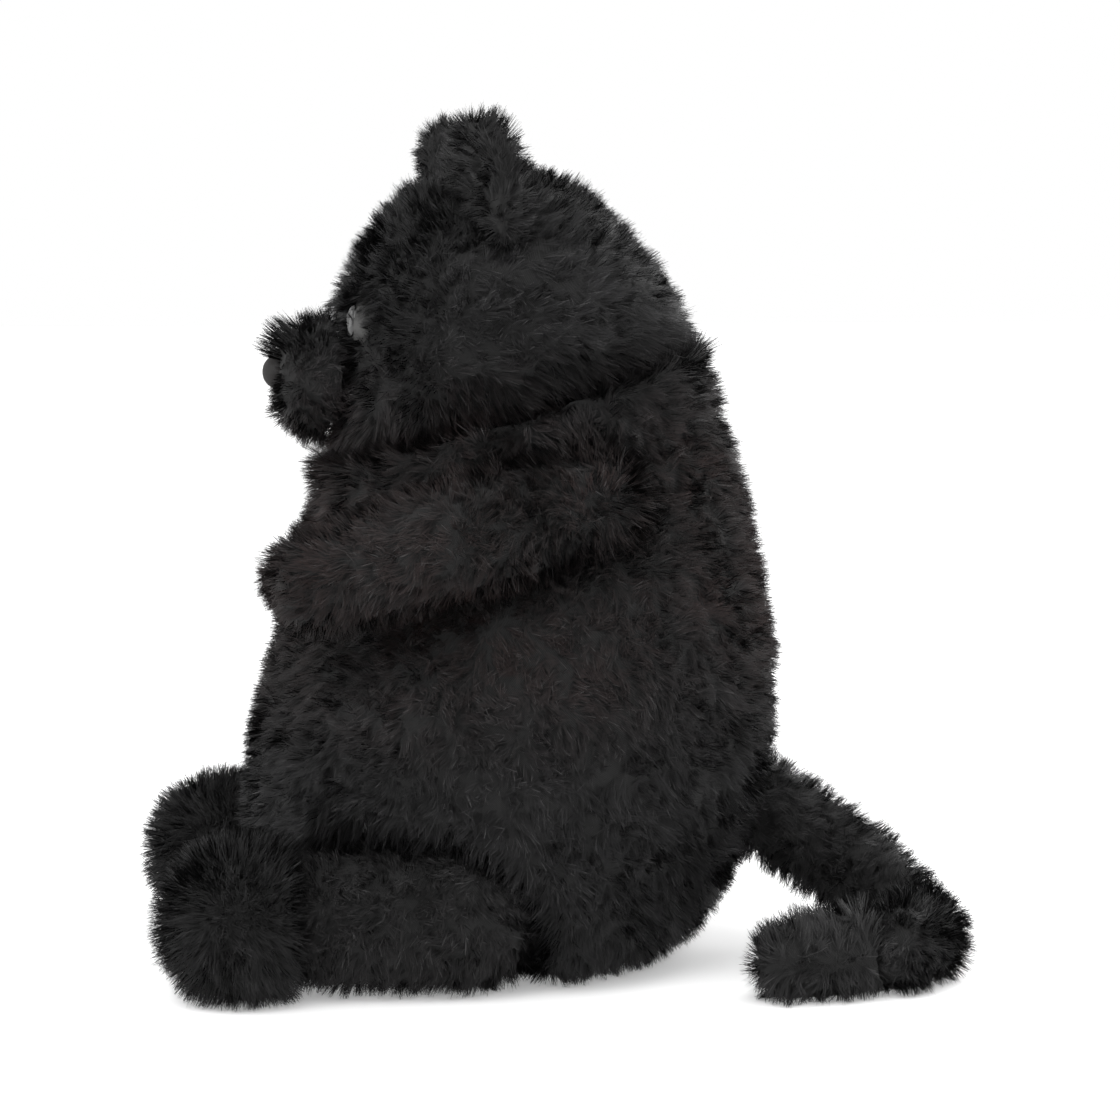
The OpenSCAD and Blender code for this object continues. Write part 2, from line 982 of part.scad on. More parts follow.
module tail_end_top() {
    soft(fur_black) tube_half(tail_end_path, tail_end_sizes, upwards, end_cup);
}

module tail_end_bottom() {
    soft(fur_black) tube_half(tail_end_path, tail_end_sizes, -upwards, end_cup);
}

module tail_end_stuffing() {
    soft(fluff_white)
        tube(tail_end_path, tail_end_sizes, upwards, limb_cloth + gap, end_cup);
}

// ---- Pieces drawn -----------------------------------------------------------------

torso_side_left();
torso_side_right();
belly_panel();
seat_panel();
torso_stuffing();
closing_thread();
pellet_bag_top();
pellet_bag_bottom();
pellets();
neck_wad();
face_panel();
head_side_left();
head_side_right();
neck_lining();
head_stuffing();
muzzle_cover();
muzzle_stuffing();
nose();
nose_washer();
eye_left();
eye_right();
pupil_left();
pupil_right();
eye_washer_left();
eye_washer_right();
ear_front_left();
ear_back_left();
ear_front_right();
ear_back_right();
arm_upper_panel_left();
arm_lower_panel_left();
arm_stuffing_left();
arm_upper_panel_right();
arm_lower_panel_right();
arm_stuffing_right();
leg_upper_panel_left();
leg_lower_panel_left();
leg_stuffing_left();
leg_upper_panel_right();
leg_lower_panel_right();
leg_stuffing_right();
foot_cover_left();
foot_sole_left();
foot_stuffing_left();
foot_cover_right();
foot_sole_right();
foot_stuffing_right();
tail_root_top();
tail_root_bottom();
tail_root_stuffing();
tail_bend_top();
tail_bend_bottom();
tail_bend_stuffing();
tail_end_top();
tail_end_bottom();
tail_end_stuffing();
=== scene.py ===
"""A sitting plush cat: padded forms covered in long black pile, over the fixed CAD frame."""

import json
import logging
import math
from collections.abc import Callable, Sequence
from dataclasses import dataclass, field
from enum import Enum
from functools import partial

import bpy
import numpy as np
from mathutils import Matrix, Vector
from mathutils.bvhtree import BVHTree


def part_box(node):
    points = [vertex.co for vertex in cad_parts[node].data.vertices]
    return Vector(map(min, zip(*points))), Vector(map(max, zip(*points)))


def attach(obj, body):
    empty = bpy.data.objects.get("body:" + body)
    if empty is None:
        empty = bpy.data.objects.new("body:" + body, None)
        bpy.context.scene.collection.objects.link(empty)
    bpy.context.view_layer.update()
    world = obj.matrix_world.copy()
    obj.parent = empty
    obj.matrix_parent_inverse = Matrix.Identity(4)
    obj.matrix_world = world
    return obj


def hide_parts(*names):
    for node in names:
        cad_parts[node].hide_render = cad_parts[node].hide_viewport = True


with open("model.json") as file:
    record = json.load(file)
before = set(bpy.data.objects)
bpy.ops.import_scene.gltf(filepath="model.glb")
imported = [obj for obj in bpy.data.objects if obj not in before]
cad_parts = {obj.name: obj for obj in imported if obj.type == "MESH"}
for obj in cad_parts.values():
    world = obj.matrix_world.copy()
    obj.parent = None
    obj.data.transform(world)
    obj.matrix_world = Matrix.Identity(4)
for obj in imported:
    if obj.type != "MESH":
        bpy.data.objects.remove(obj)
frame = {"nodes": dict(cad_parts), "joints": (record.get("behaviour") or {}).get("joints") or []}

LOG = logging.getLogger("plush_cat")
MM = 0.001
SIDES = ("left", "right")
# How far the neck seam lies below the point that the head turns about, in millimetres
NECK_DROP = 50.0
# How far from the seam its rims are drawn together, and how far up and out, in millimetres
RIM_REACH, RIM_LIFT, RIM_SPREAD = 11.0, 2.4, 1.6
# How far out from the neck's axis the rims start and are full, in millimetres
RIM_START, RIM_WIDTH = 50.0, 8.0
# How far along the neck's axis the bare bowl and ball reach, in millimetres
BOWL_DEPTH = 45.0
# How far below the neck seam the skin may be moved to close a hollow, in millimetres
NECK_CLEAR = 8.0
CLOSING_ROUNDS = 260

Colour = tuple[float, float, float, float]
# A length factor, an extra direction and that direction's share, for each strand
Trimmed = tuple[np.ndarray, np.ndarray, np.ndarray]
# Gives the above for the strands' roots and the cloth's normals there
Trim = Callable[[np.ndarray, np.ndarray], Trimmed]


# ---- Small helpers -----------------------------------------------------------------


def deselect() -> None:
    """Leaves nothing selected, in object mode."""
    if bpy.context.object is not None and bpy.context.object.mode != "OBJECT":
        bpy.ops.object.mode_set(mode="OBJECT")
    bpy.ops.object.select_all(action="DESELECT")


def take(piece: bpy.types.Object) -> bpy.types.Object:
    """Makes a piece the only selected and active object.

    Args:
        piece: The object to select.

    Returns:
        The same object.
    """
    deselect()
    piece.hide_set(False)
    piece.select_set(True)
    bpy.context.view_layer.objects.active = piece
    return piece


def apply_modifiers(piece: bpy.types.Object) -> None:
    """Applies every modifier of a piece, in order.

    Args:
        piece: The object whose modifiers become part of its mesh.
    """
    take(piece)
    for name in [modifier.name for modifier in piece.modifiers]:
        bpy.ops.object.modifier_apply(modifier=name)


def bake_place(piece: bpy.types.Object) -> None:
    """Moves a piece's place, turn and scale into its mesh.

    Args:
        piece: The object to leave at the origin.
    """
    take(piece)
    bpy.ops.object.transform_apply(location=True, rotation=True, scale=True)


def node_points(node: str) -> tuple[np.ndarray, np.ndarray]:
    """Reads a CAD node's mesh.

    Args:
        node: The node's name.

    Returns:
        Its points and its triangles.
    """
    mesh = frame["nodes"][node].data
    return places_of(mesh), triangles_of(mesh)


def unit(vectors: np.ndarray) -> np.ndarray:
    """Scales each row to length one."""
    return vectors / np.maximum(np.linalg.norm(vectors, axis=-1, keepdims=True), 1e-12)


def joint_axis(name: str) -> tuple[np.ndarray, np.ndarray]:
    """The point that a joint turns about, in metres, and the direction of its axis."""
    joint = next(j for j in frame["joints"] if j["name"] == name)
    return np.array(joint["pos_m"]), np.array(joint["axis"], float)


def joint_place(name: str) -> Vector:
    """The point that a joint turns about, in metres."""
    return Vector(joint_axis(name)[0])


def places_of(mesh: bpy.types.Mesh) -> np.ndarray:
    """The places of a mesh's vertices, one row for each."""
    points = np.zeros(len(mesh.vertices) * 3)
    mesh.vertices.foreach_get("co", points)
    return points.reshape(-1, 3)


def move_to(mesh: bpy.types.Mesh, points: np.ndarray) -> None:
    """Moves a mesh's vertices.

    Args:
        mesh: The mesh.
        points: The new place of each vertex.
    """
    mesh.vertices.foreach_set("co", points.astype(np.float32).ravel())
    mesh.update()


def triangles_of(mesh: bpy.types.Mesh) -> np.ndarray:
    """The vertices of a mesh's triangles, one row for each."""
    mesh.calc_loop_triangles()
    corners = np.zeros(len(mesh.loop_triangles) * 3, np.int64)
    mesh.loop_triangles.foreach_get("vertices", corners)
    return corners.reshape(-1, 3)


def add_object(name: str, mesh: bpy.types.Mesh) -> bpy.types.Object:
    """Adds a mesh to the scene as an object."""
    made = bpy.data.objects.new(name, mesh)
    bpy.context.scene.collection.objects.link(made)
    return made


def mesh_from_arrays(
    name: str, points: np.ndarray, quads: np.ndarray, triangles: np.ndarray
) -> bpy.types.Mesh:
    """Builds a mesh from arrays.

    Args:
        name: The mesh's name.
        points: One row for each vertex.
        quads: One row of four vertices for each four-sided face.
        triangles: One row of three vertices for each three-sided face.

    Returns:
        The new mesh.
    """
    mesh = bpy.data.meshes.new(name)
    mesh.vertices.add(len(points))
    mesh.vertices.foreach_set("co", points.astype(np.float32).ravel())
    corners = np.concatenate([quads.ravel(), triangles.ravel()]).astype(np.int32)
    starts = np.concatenate(
        [np.arange(len(quads)) * 4, len(quads) * 4 + np.arange(len(triangles)) * 3]
    ).astype(np.int32)
    mesh.loops.add(len(corners))
    mesh.loops.foreach_set("vertex_index", corners)
    mesh.polygons.add(len(starts))
    mesh.polygons.foreach_set("loop_start", starts)
    mesh.update(calc_edges=True)
    return mesh


# ---- Finishes ----------------------------------------------------------------------


class Finish:
    """Makes one material, once, from the nodes that its subclass adds."""

    name: str

    def material(self) -> bpy.types.Material:
        """The material, built at the first call."""
        found = bpy.data.materials.get(self.name)
        if found is not None:
            return found
        made = bpy.data.materials.new(self.name)
        made.use_nodes = True
        tree = made.node_tree
        tree.nodes.clear()
        out = tree.nodes.new("ShaderNodeOutputMaterial")
        shader = tree.nodes.new("ShaderNodeBsdfPrincipled")
        tree.links.new(shader.outputs["BSDF"], out.inputs["Surface"])
        self.dress(tree, shader)
        return made

    def dress(self, tree: bpy.types.NodeTree, shader: bpy.types.Node) -> None:
        """Adds the finish's own nodes.

        Args:
            tree: The material's node tree.
            shader: Its Principled shader.
        """
        raise NotImplementedError


def new_group(
    name: str, inputs: Sequence[tuple[str, str, object]], outputs: Sequence[tuple[str, str]]
) -> tuple[bpy.types.NodeTree, bpy.types.Node, bpy.types.Node]:
    """Starts a shader node group with named sockets.

    Args:
        name: The group's name.
        inputs: Name, socket type and default value of each input.
        outputs: Name and socket type of each output.

    Returns:
        The group's tree, its input node and its output node.
    """
    tree = bpy.data.node_groups.new(name, "ShaderNodeTree")
    for label, kind, value in inputs:
        socket = tree.interface.new_socket(label, in_out="INPUT", socket_type=kind)
        socket.default_value = value
    for label, kind in outputs:
        tree.interface.new_socket(label, in_out="OUTPUT", socket_type=kind)
    return tree, tree.nodes.new("NodeGroupInput"), tree.nodes.new("NodeGroupOutput")


def noise(
    tree: bpy.types.NodeTree, vector: bpy.types.NodeSocket, scale: float, detail: float
) -> bpy.types.NodeSocket:
    """Adds a noise texture.

    Args:
        tree: The tree to add it to.
        vector: What it reads its place from.
        scale: Its repeats per metre.
        detail: Its octaves.

    Returns:
        Its value.
    """
    made = tree.nodes.new("ShaderNodeTexNoise")
    made.inputs["Scale"].default_value = scale
    made.inputs["Detail"].default_value = detail
    tree.links.new(vector, made.inputs["Vector"])
    return made.outputs["Fac"]


def remap(
    tree: bpy.types.NodeTree, value: bpy.types.NodeSocket, low: float, high: float,
    to_low: float, to_high: float,
) -> bpy.types.NodeSocket:
    """Maps a value from one range to another, and holds it there.

    Args:
        tree: The tree to add the node to.
        value: The value to map.
        low: Where the first range starts.
        high: Where the first range ends.
        to_low: What low becomes.
        to_high: What high becomes.

    Returns:
        The mapped value.
    """
    made = tree.nodes.new("ShaderNodeMapRange")
    for label, number in (
        ("From Min", low), ("From Max", high), ("To Min", to_low), ("To Max", to_high)
    ):
        made.inputs[label].default_value = number
    tree.links.new(value, made.inputs["Value"])
    return made.outputs["Result"]


def mix(
    tree: bpy.types.NodeTree, factor: bpy.types.NodeSocket, first: object, second: object,
    blend: str = "MIX",
) -> bpy.types.NodeSocket:
    """Mixes two colours.

    Args:
        tree: The tree to add the node to.
        factor: How much of the second colour is taken.
        first: A colour, or a socket that gives one.
        second: A colour, or a socket that gives one.
        blend: The way of mixing.

    Returns:
        The mixed colour.
    """
    made = tree.nodes.new("ShaderNodeMix")
    made.data_type = "RGBA"
    made.blend_type = blend
    tree.links.new(factor, made.inputs["Factor"])
    for socket, colour in ((made.inputs["A"], first), (made.inputs["B"], second)):
        if isinstance(colour, bpy.types.NodeSocket):
            tree.links.new(colour, socket)
        else:
            socket.default_value = colour
    return made.outputs["Result"]


def times(
    tree: bpy.types.NodeTree, first: bpy.types.NodeSocket, second: bpy.types.NodeSocket
) -> bpy.types.NodeSocket:
    """Multiplies two numbers.

    Args:
        tree: The tree to add the node to.
        first: One number.
        second: The other number.

    Returns:
        Their product.
    """
    made = tree.nodes.new("ShaderNodeMath")
    made.operation = "MULTIPLY"
    tree.links.new(first, made.inputs[0])
    tree.links.new(second, made.inputs[1])
    return made.outputs[0]


def shade_by(
    tree: bpy.types.NodeTree, colour: bpy.types.NodeSocket, amount: bpy.types.NodeSocket
) -> bpy.types.NodeSocket:
    """Darkens or lightens a colour.

    Args:
        tree: The tree to add the nodes to.
        colour: The colour.
        amount: What it is multiplied by.

    Returns:
        The shaded colour.
    """
    grey = tree.nodes.new("ShaderNodeCombineColor")
    for label in ("Red", "Green", "Blue"):
        tree.links.new(amount, grey.inputs[label])
    whole = tree.nodes.new("ShaderNodeValue")
    whole.outputs[0].default_value = 1.0
    return mix(tree, whole.outputs[0], colour, grey.outputs["Color"], "MULTIPLY")


def object_place(tree: bpy.types.NodeTree) -> bpy.types.NodeSocket:
    """Adds the place in the object's own coordinates."""
    return tree.nodes.new("ShaderNodeTexCoord").outputs["Object"]


def add_bump(
    tree: bpy.types.NodeTree, shader: bpy.types.Node, height: bpy.types.NodeSocket, distance: float
) -> None:
    """Gives a shader a bumpy surface.

    Args:
        tree: The material's node tree.
        shader: Its Principled shader.
        height: The pattern of the bumps.
        distance: Their height in metres.
    """
    bump = tree.nodes.new("ShaderNodeBump")
    bump.inputs["Distance"].default_value = distance
    tree.links.new(height, bump.inputs["Height"])
    tree.links.new(bump.outputs["Normal"], shader.inputs["Normal"])


def strand_colours() -> bpy.types.NodeTree:
    """The group that colours strands of pile from root to tip, strand by strand and tuft by tuft."""
    found = bpy.data.node_groups.get("strand_colours")
    if found is not None:
        return found
    colour = "NodeSocketColor"
    tree, inward, outward = new_group(
        "strand_colours",
        [
            ("Root", colour, (0.004, 0.004, 0.004, 1)),
            ("Tip", colour, (0.03, 0.03, 0.03, 1)),
            ("Pale", colour, (0.1, 0.1, 0.1, 1)),
            ("Warm", colour, (0.03, 0.02, 0.018, 1)),
        ],
        [("Color", colour), ("Roughness", "NodeSocketFloat")],
    )
    height, tone, tuft = (tree.nodes.new("ShaderNodeAttribute") for _ in range(3))
    height.attribute_name, tone.attribute_name, tuft.attribute_name = (
        "pile_height", "strand_tone", "tuft_tone",
    )
    place = object_place(tree)
    split = tree.nodes.new("ShaderNodeSeparateXYZ")
    tree.links.new(place, split.inputs[0])
    low = remap(tree, split.outputs["Z"], 0.07, 0.125, 0.0, 1.0)
    high = remap(tree, split.outputs["Z"], 0.165, 0.215, 1.0, 0.0)
    patch = remap(tree, noise(tree, place, 22, 2), 0.35, 0.65, 0.4, 1.0)
    warmth = times(tree, times(tree, low, high), patch)
    tip = mix(tree, warmth, inward.outputs["Tip"], inward.outputs["Warm"])
    along = remap(tree, height.outputs["Fac"], 0.15, 1.0, 0.0, 1.0)
    body = mix(tree, along, inward.outputs["Root"], tip)
    rare = remap(tree, tone.outputs["Fac"], 0.86, 1.0, 0.0, 0.8)
    streaked = mix(tree, times(tree, rare, along), body, inward.outputs["Pale"])
    shade = remap(tree, tuft.outputs["Fac"], 0.0, 1.0, 0.72, 1.32)
    cloud = remap(tree, noise(tree, place, 36, 2), 0.36, 0.64, 0.74, 1.4)
    shaded = shade_by(tree, shade_by(tree, streaked, shade), cloud)
    tree.links.new(shaded, outward.inputs["Color"])
    rough = remap(tree, tone.outputs["Fac"], 0.0, 1.0, 0.42, 0.68)
    tree.links.new(rough, outward.inputs["Roughness"])
    return tree


def knit_pattern() -> bpy.types.NodeTree:
    """The group that draws a fine knitted or woven cloth: a mask of its threads and their height."""
    found = bpy.data.node_groups.get("knit_pattern")
    if found is not None:
        return found
    tree, inward, outward = new_group(
        "knit_pattern",
        [("Threads", "NodeSocketFloat", 900.0)],
        [("Mask", "NodeSocketFloat"), ("Height", "NodeSocketFloat")],
    )
    place = object_place(tree)
    waves = []
    for direction in ("Z", "DIAGONAL"):
        wave = tree.nodes.new("ShaderNodeTexWave")
        wave.bands_direction = direction
        wave.inputs["Distortion"].default_value = 1.2
        tree.links.new(place, wave.inputs["Vector"])
        tree.links.new(inward.outputs["Threads"], wave.inputs["Scale"])
        waves.append(wave.outputs["Fac"])
    joined = times(tree, waves[0], waves[1])
    tree.links.new(joined, outward.inputs["Height"])
    tree.links.new(remap(tree, joined, 0.1, 0.7, 0.0, 1.0), outward.inputs["Mask"])
    return tree


@dataclass(frozen=True)
class PileFinish(Finish):
    """Long acrylic pile: dark at the root, greyer at the tip, with some pale strands."""

    name: str
    root: Colour = (0.0046, 0.0043, 0.0045, 1)
    tip: Colour = (0.0098, 0.0095, 0.0101, 1)
    pale: Colour = (0.085, 0.083, 0.084, 1)
    warm: Colour = (0.0190, 0.0092, 0.0080, 1)

    def dress(self, tree: bpy.types.NodeTree, shader: bpy.types.Node) -> None:
        """Adds the strand colours to the shader.

        Args:
            tree: The material's node tree.
            shader: Its Principled shader.
        """
        group = tree.nodes.new("ShaderNodeGroup")
        group.node_tree = strand_colours()
        for label, colour in (
            ("Root", self.root), ("Tip", self.tip), ("Pale", self.pale), ("Warm", self.warm)
        ):
            group.inputs[label].default_value = colour
        tree.links.new(group.outputs["Color"], shader.inputs["Base Color"])
        tree.links.new(group.outputs["Roughness"], shader.inputs["Roughness"])
        shader.inputs["Specular IOR Level"].default_value = 0.24


@dataclass(frozen=True)
class ClothFinish(Finish):
    """Knitted or woven cloth, such as the backing of the pile or the pellet bag."""

    name: str
    dark: Colour
    light: Colour
    threads: float = 900.0

    def dress(self, tree: bpy.types.NodeTree, shader: bpy.types.Node) -> None:
        """Adds the threads, their bump and a soft unevenness.

        Args:
            tree: The material's node tree.
            shader: Its Principled shader.
        """
        group = tree.nodes.new("ShaderNodeGroup")
        group.node_tree = knit_pattern()
        group.inputs["Threads"].default_value = self.threads
        place = object_place(tree)
        cloth = mix(tree, group.outputs["Mask"], self.dark, self.light)
        uneven = remap(tree, noise(tree, place, 90, 3), 0.3, 0.7, 0.0, 0.35)
        tree.links.new(mix(tree, uneven, cloth, self.dark), shader.inputs["Base Color"])
        add_bump(tree, shader, group.outputs["Height"], 0.0002)
        rough = remap(tree, group.outputs["Mask"], 0.0, 1.0, 0.95, 0.8)
        tree.links.new(rough, shader.inputs["Roughness"])


@dataclass(frozen=True)
class PlasticFinish(Finish):
    """Moulded plastic with a soft orange peel and faint scuffs."""

    name: str
    base: Colour
    worn: Colour
    roughness: float
    coat: float = 0.0
    grain: float = 700.0
    depth: float = 0.00003

    def dress(self, tree: bpy.types.NodeTree, shader: bpy.types.Node) -> None:
        """Adds the grain, the scuffs and the coat.

        Args:
            tree: The material's node tree.
            shader: Its Principled shader.
        """
        place = object_place(tree)
        scuffs = remap(tree, noise(tree, place, 260, 4), 0.45, 0.75, 0.0, 1.0)
        tree.links.new(mix(tree, scuffs, self.base, self.worn), shader.inputs["Base Color"])
        rough = remap(tree, scuffs, 0.0, 1.0, self.roughness, min(self.roughness + 0.18, 1))
        tree.links.new(rough, shader.inputs["Roughness"])
        add_bump(tree, shader, noise(tree, place, self.grain, 3), self.depth)
        shader.inputs["Coat Weight"].default_value = self.coat


@dataclass(frozen=True)
class FibreFinish(Finish):
    """Loose fibre filling, cloudy and matt."""

    name: str
    dark: Colour
    light: Colour

    def dress(self, tree: bpy.types.NodeTree, shader: bpy.types.Node) -> None:
        """Adds the clouds and the fluff.

        Args:
            tree: The material's node tree.
            shader: Its Principled shader.
        """
        place = object_place(tree)
        cloud = noise(tree, place, 120, 6)
        tree.links.new(
            mix(tree, remap(tree, cloud, 0.3, 0.7, 0.0, 1.0), self.dark, self.light),
            shader.inputs["Base Color"],
        )
        add_bump(tree, shader, noise(tree, place, 420, 5), 0.001)
        tree.links.new(remap(tree, cloud, 0.3, 0.7, 0.9, 1.0), shader.inputs["Roughness"])


BODY_PILE = PileFinish("body_pile")
LIMB_PILE = PileFinish("limb_pile", tip=(0.0116, 0.0108, 0.0110, 1))
FOOT_PILE = PileFinish("foot_pile", tip=(0.0175, 0.0172, 0.0176, 1))
TAIL_PILE = PileFinish("tail_pile", tip=(0.0205, 0.0201, 0.0205, 1))
EAR_PILE = PileFinish("ear_pile", tip=(0.0125, 0.0122, 0.0126, 1))
BACKING = ClothFinish("pile_backing", (0.005, 0.005, 0.005, 1), (0.011, 0.0105, 0.0105, 1))
BAG_CLOTH = ClothFinish("bag_weave", (0.50, 0.45, 0.36, 1), (0.72, 0.68, 0.58, 1), 1300.0)
THREAD = ClothFinish("twisted_thread", (0.004, 0.004, 0.004, 1), (0.02, 0.02, 0.02, 1), 2600.0)
WHITE_FIBRE = FibreFinish("white_fibre", (0.62, 0.62, 0.60, 1), (0.9, 0.9, 0.88, 1))
DARK_FIBRE = FibreFinish("dark_fibre", (0.004, 0.004, 0.004, 1), (0.012, 0.0115, 0.0115, 1))
PELLETS = PlasticFinish(
    "pellet_beads", (0.6, 0.6, 0.62, 1), (0.75, 0.75, 0.76, 1), 0.5, 0, 900, 0.0008
)
WASHER = PlasticFinish("washer_moulded", (0.78, 0.78, 0.76, 1), (0.66, 0.66, 0.64, 1), 0.45)
EYE_SHELL = PlasticFinish(
    "eye_shell", (0.040, 0.0396, 0.0385, 1), (0.026, 0.0256, 0.025, 1), 0.6, 0.0, 1500.0, 0.00002
)
PUPIL = PlasticFinish("pupil_gloss", (0.004, 0.004, 0.004, 1), (0.012, 0.012, 0.012, 1), 0.12, 0.5)
NOSE = PlasticFinish(
    "nose_flock", (0.0034, 0.0024, 0.0023, 1), (0.008, 0.0055, 0.005, 1), 0.8, 0.0, 2600.0, 0.0002
)


# ---- Pile --------------------------------------------------------------------------


class Lay(Enum):
    """The way that the pile of a piece lies."""

    DOWN = "down"
    BACK = "back"
    OUT = "out"
    ALONG = "along"
    PARTED = "parted"


@dataclass
class Pile:
    """The strands that grow on a padded form."""

    length: float = 5.6
    width: float = 0.27
    density: float = 2.9
    lift: float = 0.72
    lay: Lay = Lay.DOWN
    lay_share: float = 0.34
    tuft: float = 3.0
    gather: float = 0.5
    toward: tuple[float, float, float] = (0.0, 0.0, -1.0)
    middle: tuple[float, float, float] = (0.0, 0.0, 0.0)
    mess: float = 0.85
    relief: float = 0.75

    def heading(self, roots: np.ndarray) -> np.ndarray:
        """The direction in which the pile lies at each root.

        Args:
            roots: The strands' lowest points.

        Returns:
            A direction for each root.
        """
        if self.lay in (Lay.BACK, Lay.OUT):
            return unit(roots - np.array(self.middle))
        if self.lay is Lay.PARTED:
            side = np.sign(roots[:, 2:3] - self.middle[2]) * np.array([[0, 0, 1.0]])
            return unit(side + 0.6 * np.array(self.toward))
        return np.broadcast_to(unit(np.array(self.toward)), roots.shape)


def cell_random(cells: np.ndarray, seed: int) -> np.ndarray:
    """Three numbers from 0 to 1 for each cell of a grid, the same in every run.

    Args:
        cells: Whole-number cell places, one row for each.
        seed: Changes all the numbers.

    Returns:
        Three numbers for each row.
    """
    c = cells.astype(np.int64)
    key = (c[..., 0] * 73856093) ^ (c[..., 1] * 19349663) ^ (c[..., 2] * 83492791)
    key ^= seed * 2654435761
    found = []
    for turn in range(3):
        key = (key ^ (key >> 13)) * 1274126177 + turn * 374761393
        key &= 0x7FFFFFFF
        found.append(((key ^ (key >> 16)) & 0xFFFF) / 65535.0)
    return np.stack(found, axis=-1)


def tuft_middles(roots: np.ndarray, spacing: float, seed: int) -> tuple[np.ndarray, np.ndarray]:
    """The tuft that each root belongs to.

    Args:
        roots: The strands' lowest points.
        spacing: The distance between tufts.
        seed: Changes where the tufts are.

    Returns:
        The middle of each root's tuft, and three numbers that belong to that tuft.
    """
    home = np.floor(roots / spacing).astype(np.int64)
    best = np.full(len(roots), 1e9)
    middle = np.zeros_like(roots)
    owner = home.copy()
    for dx in (-1, 0, 1):
        for dy in (-1, 0, 1):
            for dz in (-1, 0, 1):
                cell = home + np.array([dx, dy, dz])
                spot = (cell + cell_random(cell, seed)) * spacing
                far = ((spot - roots) ** 2).sum(1)
                near = far < best
                best[near], middle[near], owner[near] = far[near], spot[near], cell[near]
    return middle, cell_random(owner, seed + 7)


@dataclass
class Strands:
    """Strands of pile as plain arrays, ready to join a mesh."""

    points: np.ndarray
    height: np.ndarray
    tone: np.ndarray
    tuft: np.ndarray
    facing: np.ndarray

    @property
    def quads(self) -> np.ndarray:
        """The one four-sided face of each strand."""
        first = np.arange(len(self.points) // 4)[:, None] * 4
        return first + np.array([[0, 1, 2, 3]])


@dataclass
class Skin:
    """The cloth of a padded form as arrays: its triangles, normals and the panel of each."""

    points: np.ndarray
    normals: np.ndarray
    triangles: np.ndarray
    panel: np.ndarray

    def area(self) -> np.ndarray:
        """The area of each triangle."""
        a, b, c = (self.points[self.triangles[:, i]] for i in range(3))
        return np.linalg.norm(np.cross(b - a, c - a), axis=1) / 2


def plain_trim(roots: np.ndarray) -> Trimmed:
    """Full length everywhere, with no extra direction."""
    return np.ones(len(roots)), np.zeros_like(roots), np.zeros(len(roots))


def grow(
    skin: Skin, pile: Pile, panel: int, seed: int, trim: Trim | None = None
) -> Strands:
    """Grows the pile of one panel.

    Args:
        skin: The cloth that the strands stand on.
        pile: How long, thick, dense and gathered they are.
        panel: Which panel they grow on.
        seed: Makes each panel its own.
        trim: Gives, for roots and normals, a length factor, an extra direction and its share.

    Returns:
        The strands.
    """
    rng = np.random.default_rng(seed)
    mine = skin.panel == panel
    area = np.where(mine, skin.area(), 0.0)
    density = pile.density * 1.0
    count = int(area.sum() / MM**2 * density)
    picks = rng.choice(len(area), count, p=area / area.sum())
    a, b = rng.random((2, count))
    over = a + b > 1
    a[over], b[over] = 1 - a[over], 1 - b[over]
    corners = skin.triangles[picks]
    weights = np.stack([1 - a - b, a, b], 1)[:, :, None]
    roots = (skin.points[corners] * weights).sum(1)
    normals = unit((skin.normals[corners] * weights).sum(1))
    factor, extra, share = trim(roots, normals) if trim else plain_trim(roots)
    keep = factor > 0.05
    roots, normals = roots[keep], normals[keep]
    factor, extra, share = factor[keep], extra[keep], share[keep, None]
    count = len(roots)
    near, near_random = tuft_middles(roots, pile.tuft * MM, seed % 7 + 1)
    wide, wide_random = tuft_middles(roots, pile.tuft * 2.6 * MM, seed % 5 + 3)
    lay = pile.heading(roots)
    lay = unit(lay - (lay * normals).sum(1, keepdims=True) * normals + 1e-9)
    mess = pile.mess * ((near_random - 0.5) * 1.3 + (wide_random - 0.5) * 1.6)
    course = unit(
        pile.lift * normals + pile.lay_share * lay + mess * 0.9
        + 0.5 * (rng.random((count, 3)) - 0.5)
    )
    course = unit(course * (1 - share) + extra * share)
    length = pile.length * MM * factor * (0.72 + 0.5 * rng.random(count))
    length *= 0.86 + 0.3 * near_random[:, 0]
    length = length[:, None]
    pull = near - roots
    pull -= (pull * normals).sum(1, keepdims=True) * normals
    tip = roots + course * length + pull * pile.gather + lay * length * 0.12
    twist = rng.random((count, 3)) - 0.5
    across = unit(np.cross(unit(tip - roots), normals) + 0.7 * twist)
    half = pile.width * MM / 2 * (0.7 + 0.6 * rng.random((count, 1)))
    sunk = roots - normals * 0.0006
    end = across * half * 0.3
    points = np.stack([sunk - across * half, sunk + across * half, tip + end, tip - end], 1)
    points[:, :, 2] = np.maximum(points[:, :, 2], 0.0004)
    height = np.tile(np.array([0.0, 0.0, 1.0, 1.0]), count)
    tone = np.repeat(rng.random(count), 4)
    tuft = np.repeat(0.55 * near_random[:, 1] + 0.45 * wide_random[:, 2], 4)
    facing = unit(
        normals + pile.relief * (near_random - 0.5) + 0.6 * pile.relief * (wide_random - 0.5)
        + 0.35 * twist
    )
    return Strands(points.reshape(-1, 3), height, tone, tuft, np.repeat(facing, 4, axis=0))


# ---- Padded forms ------------------------------------------------------------------


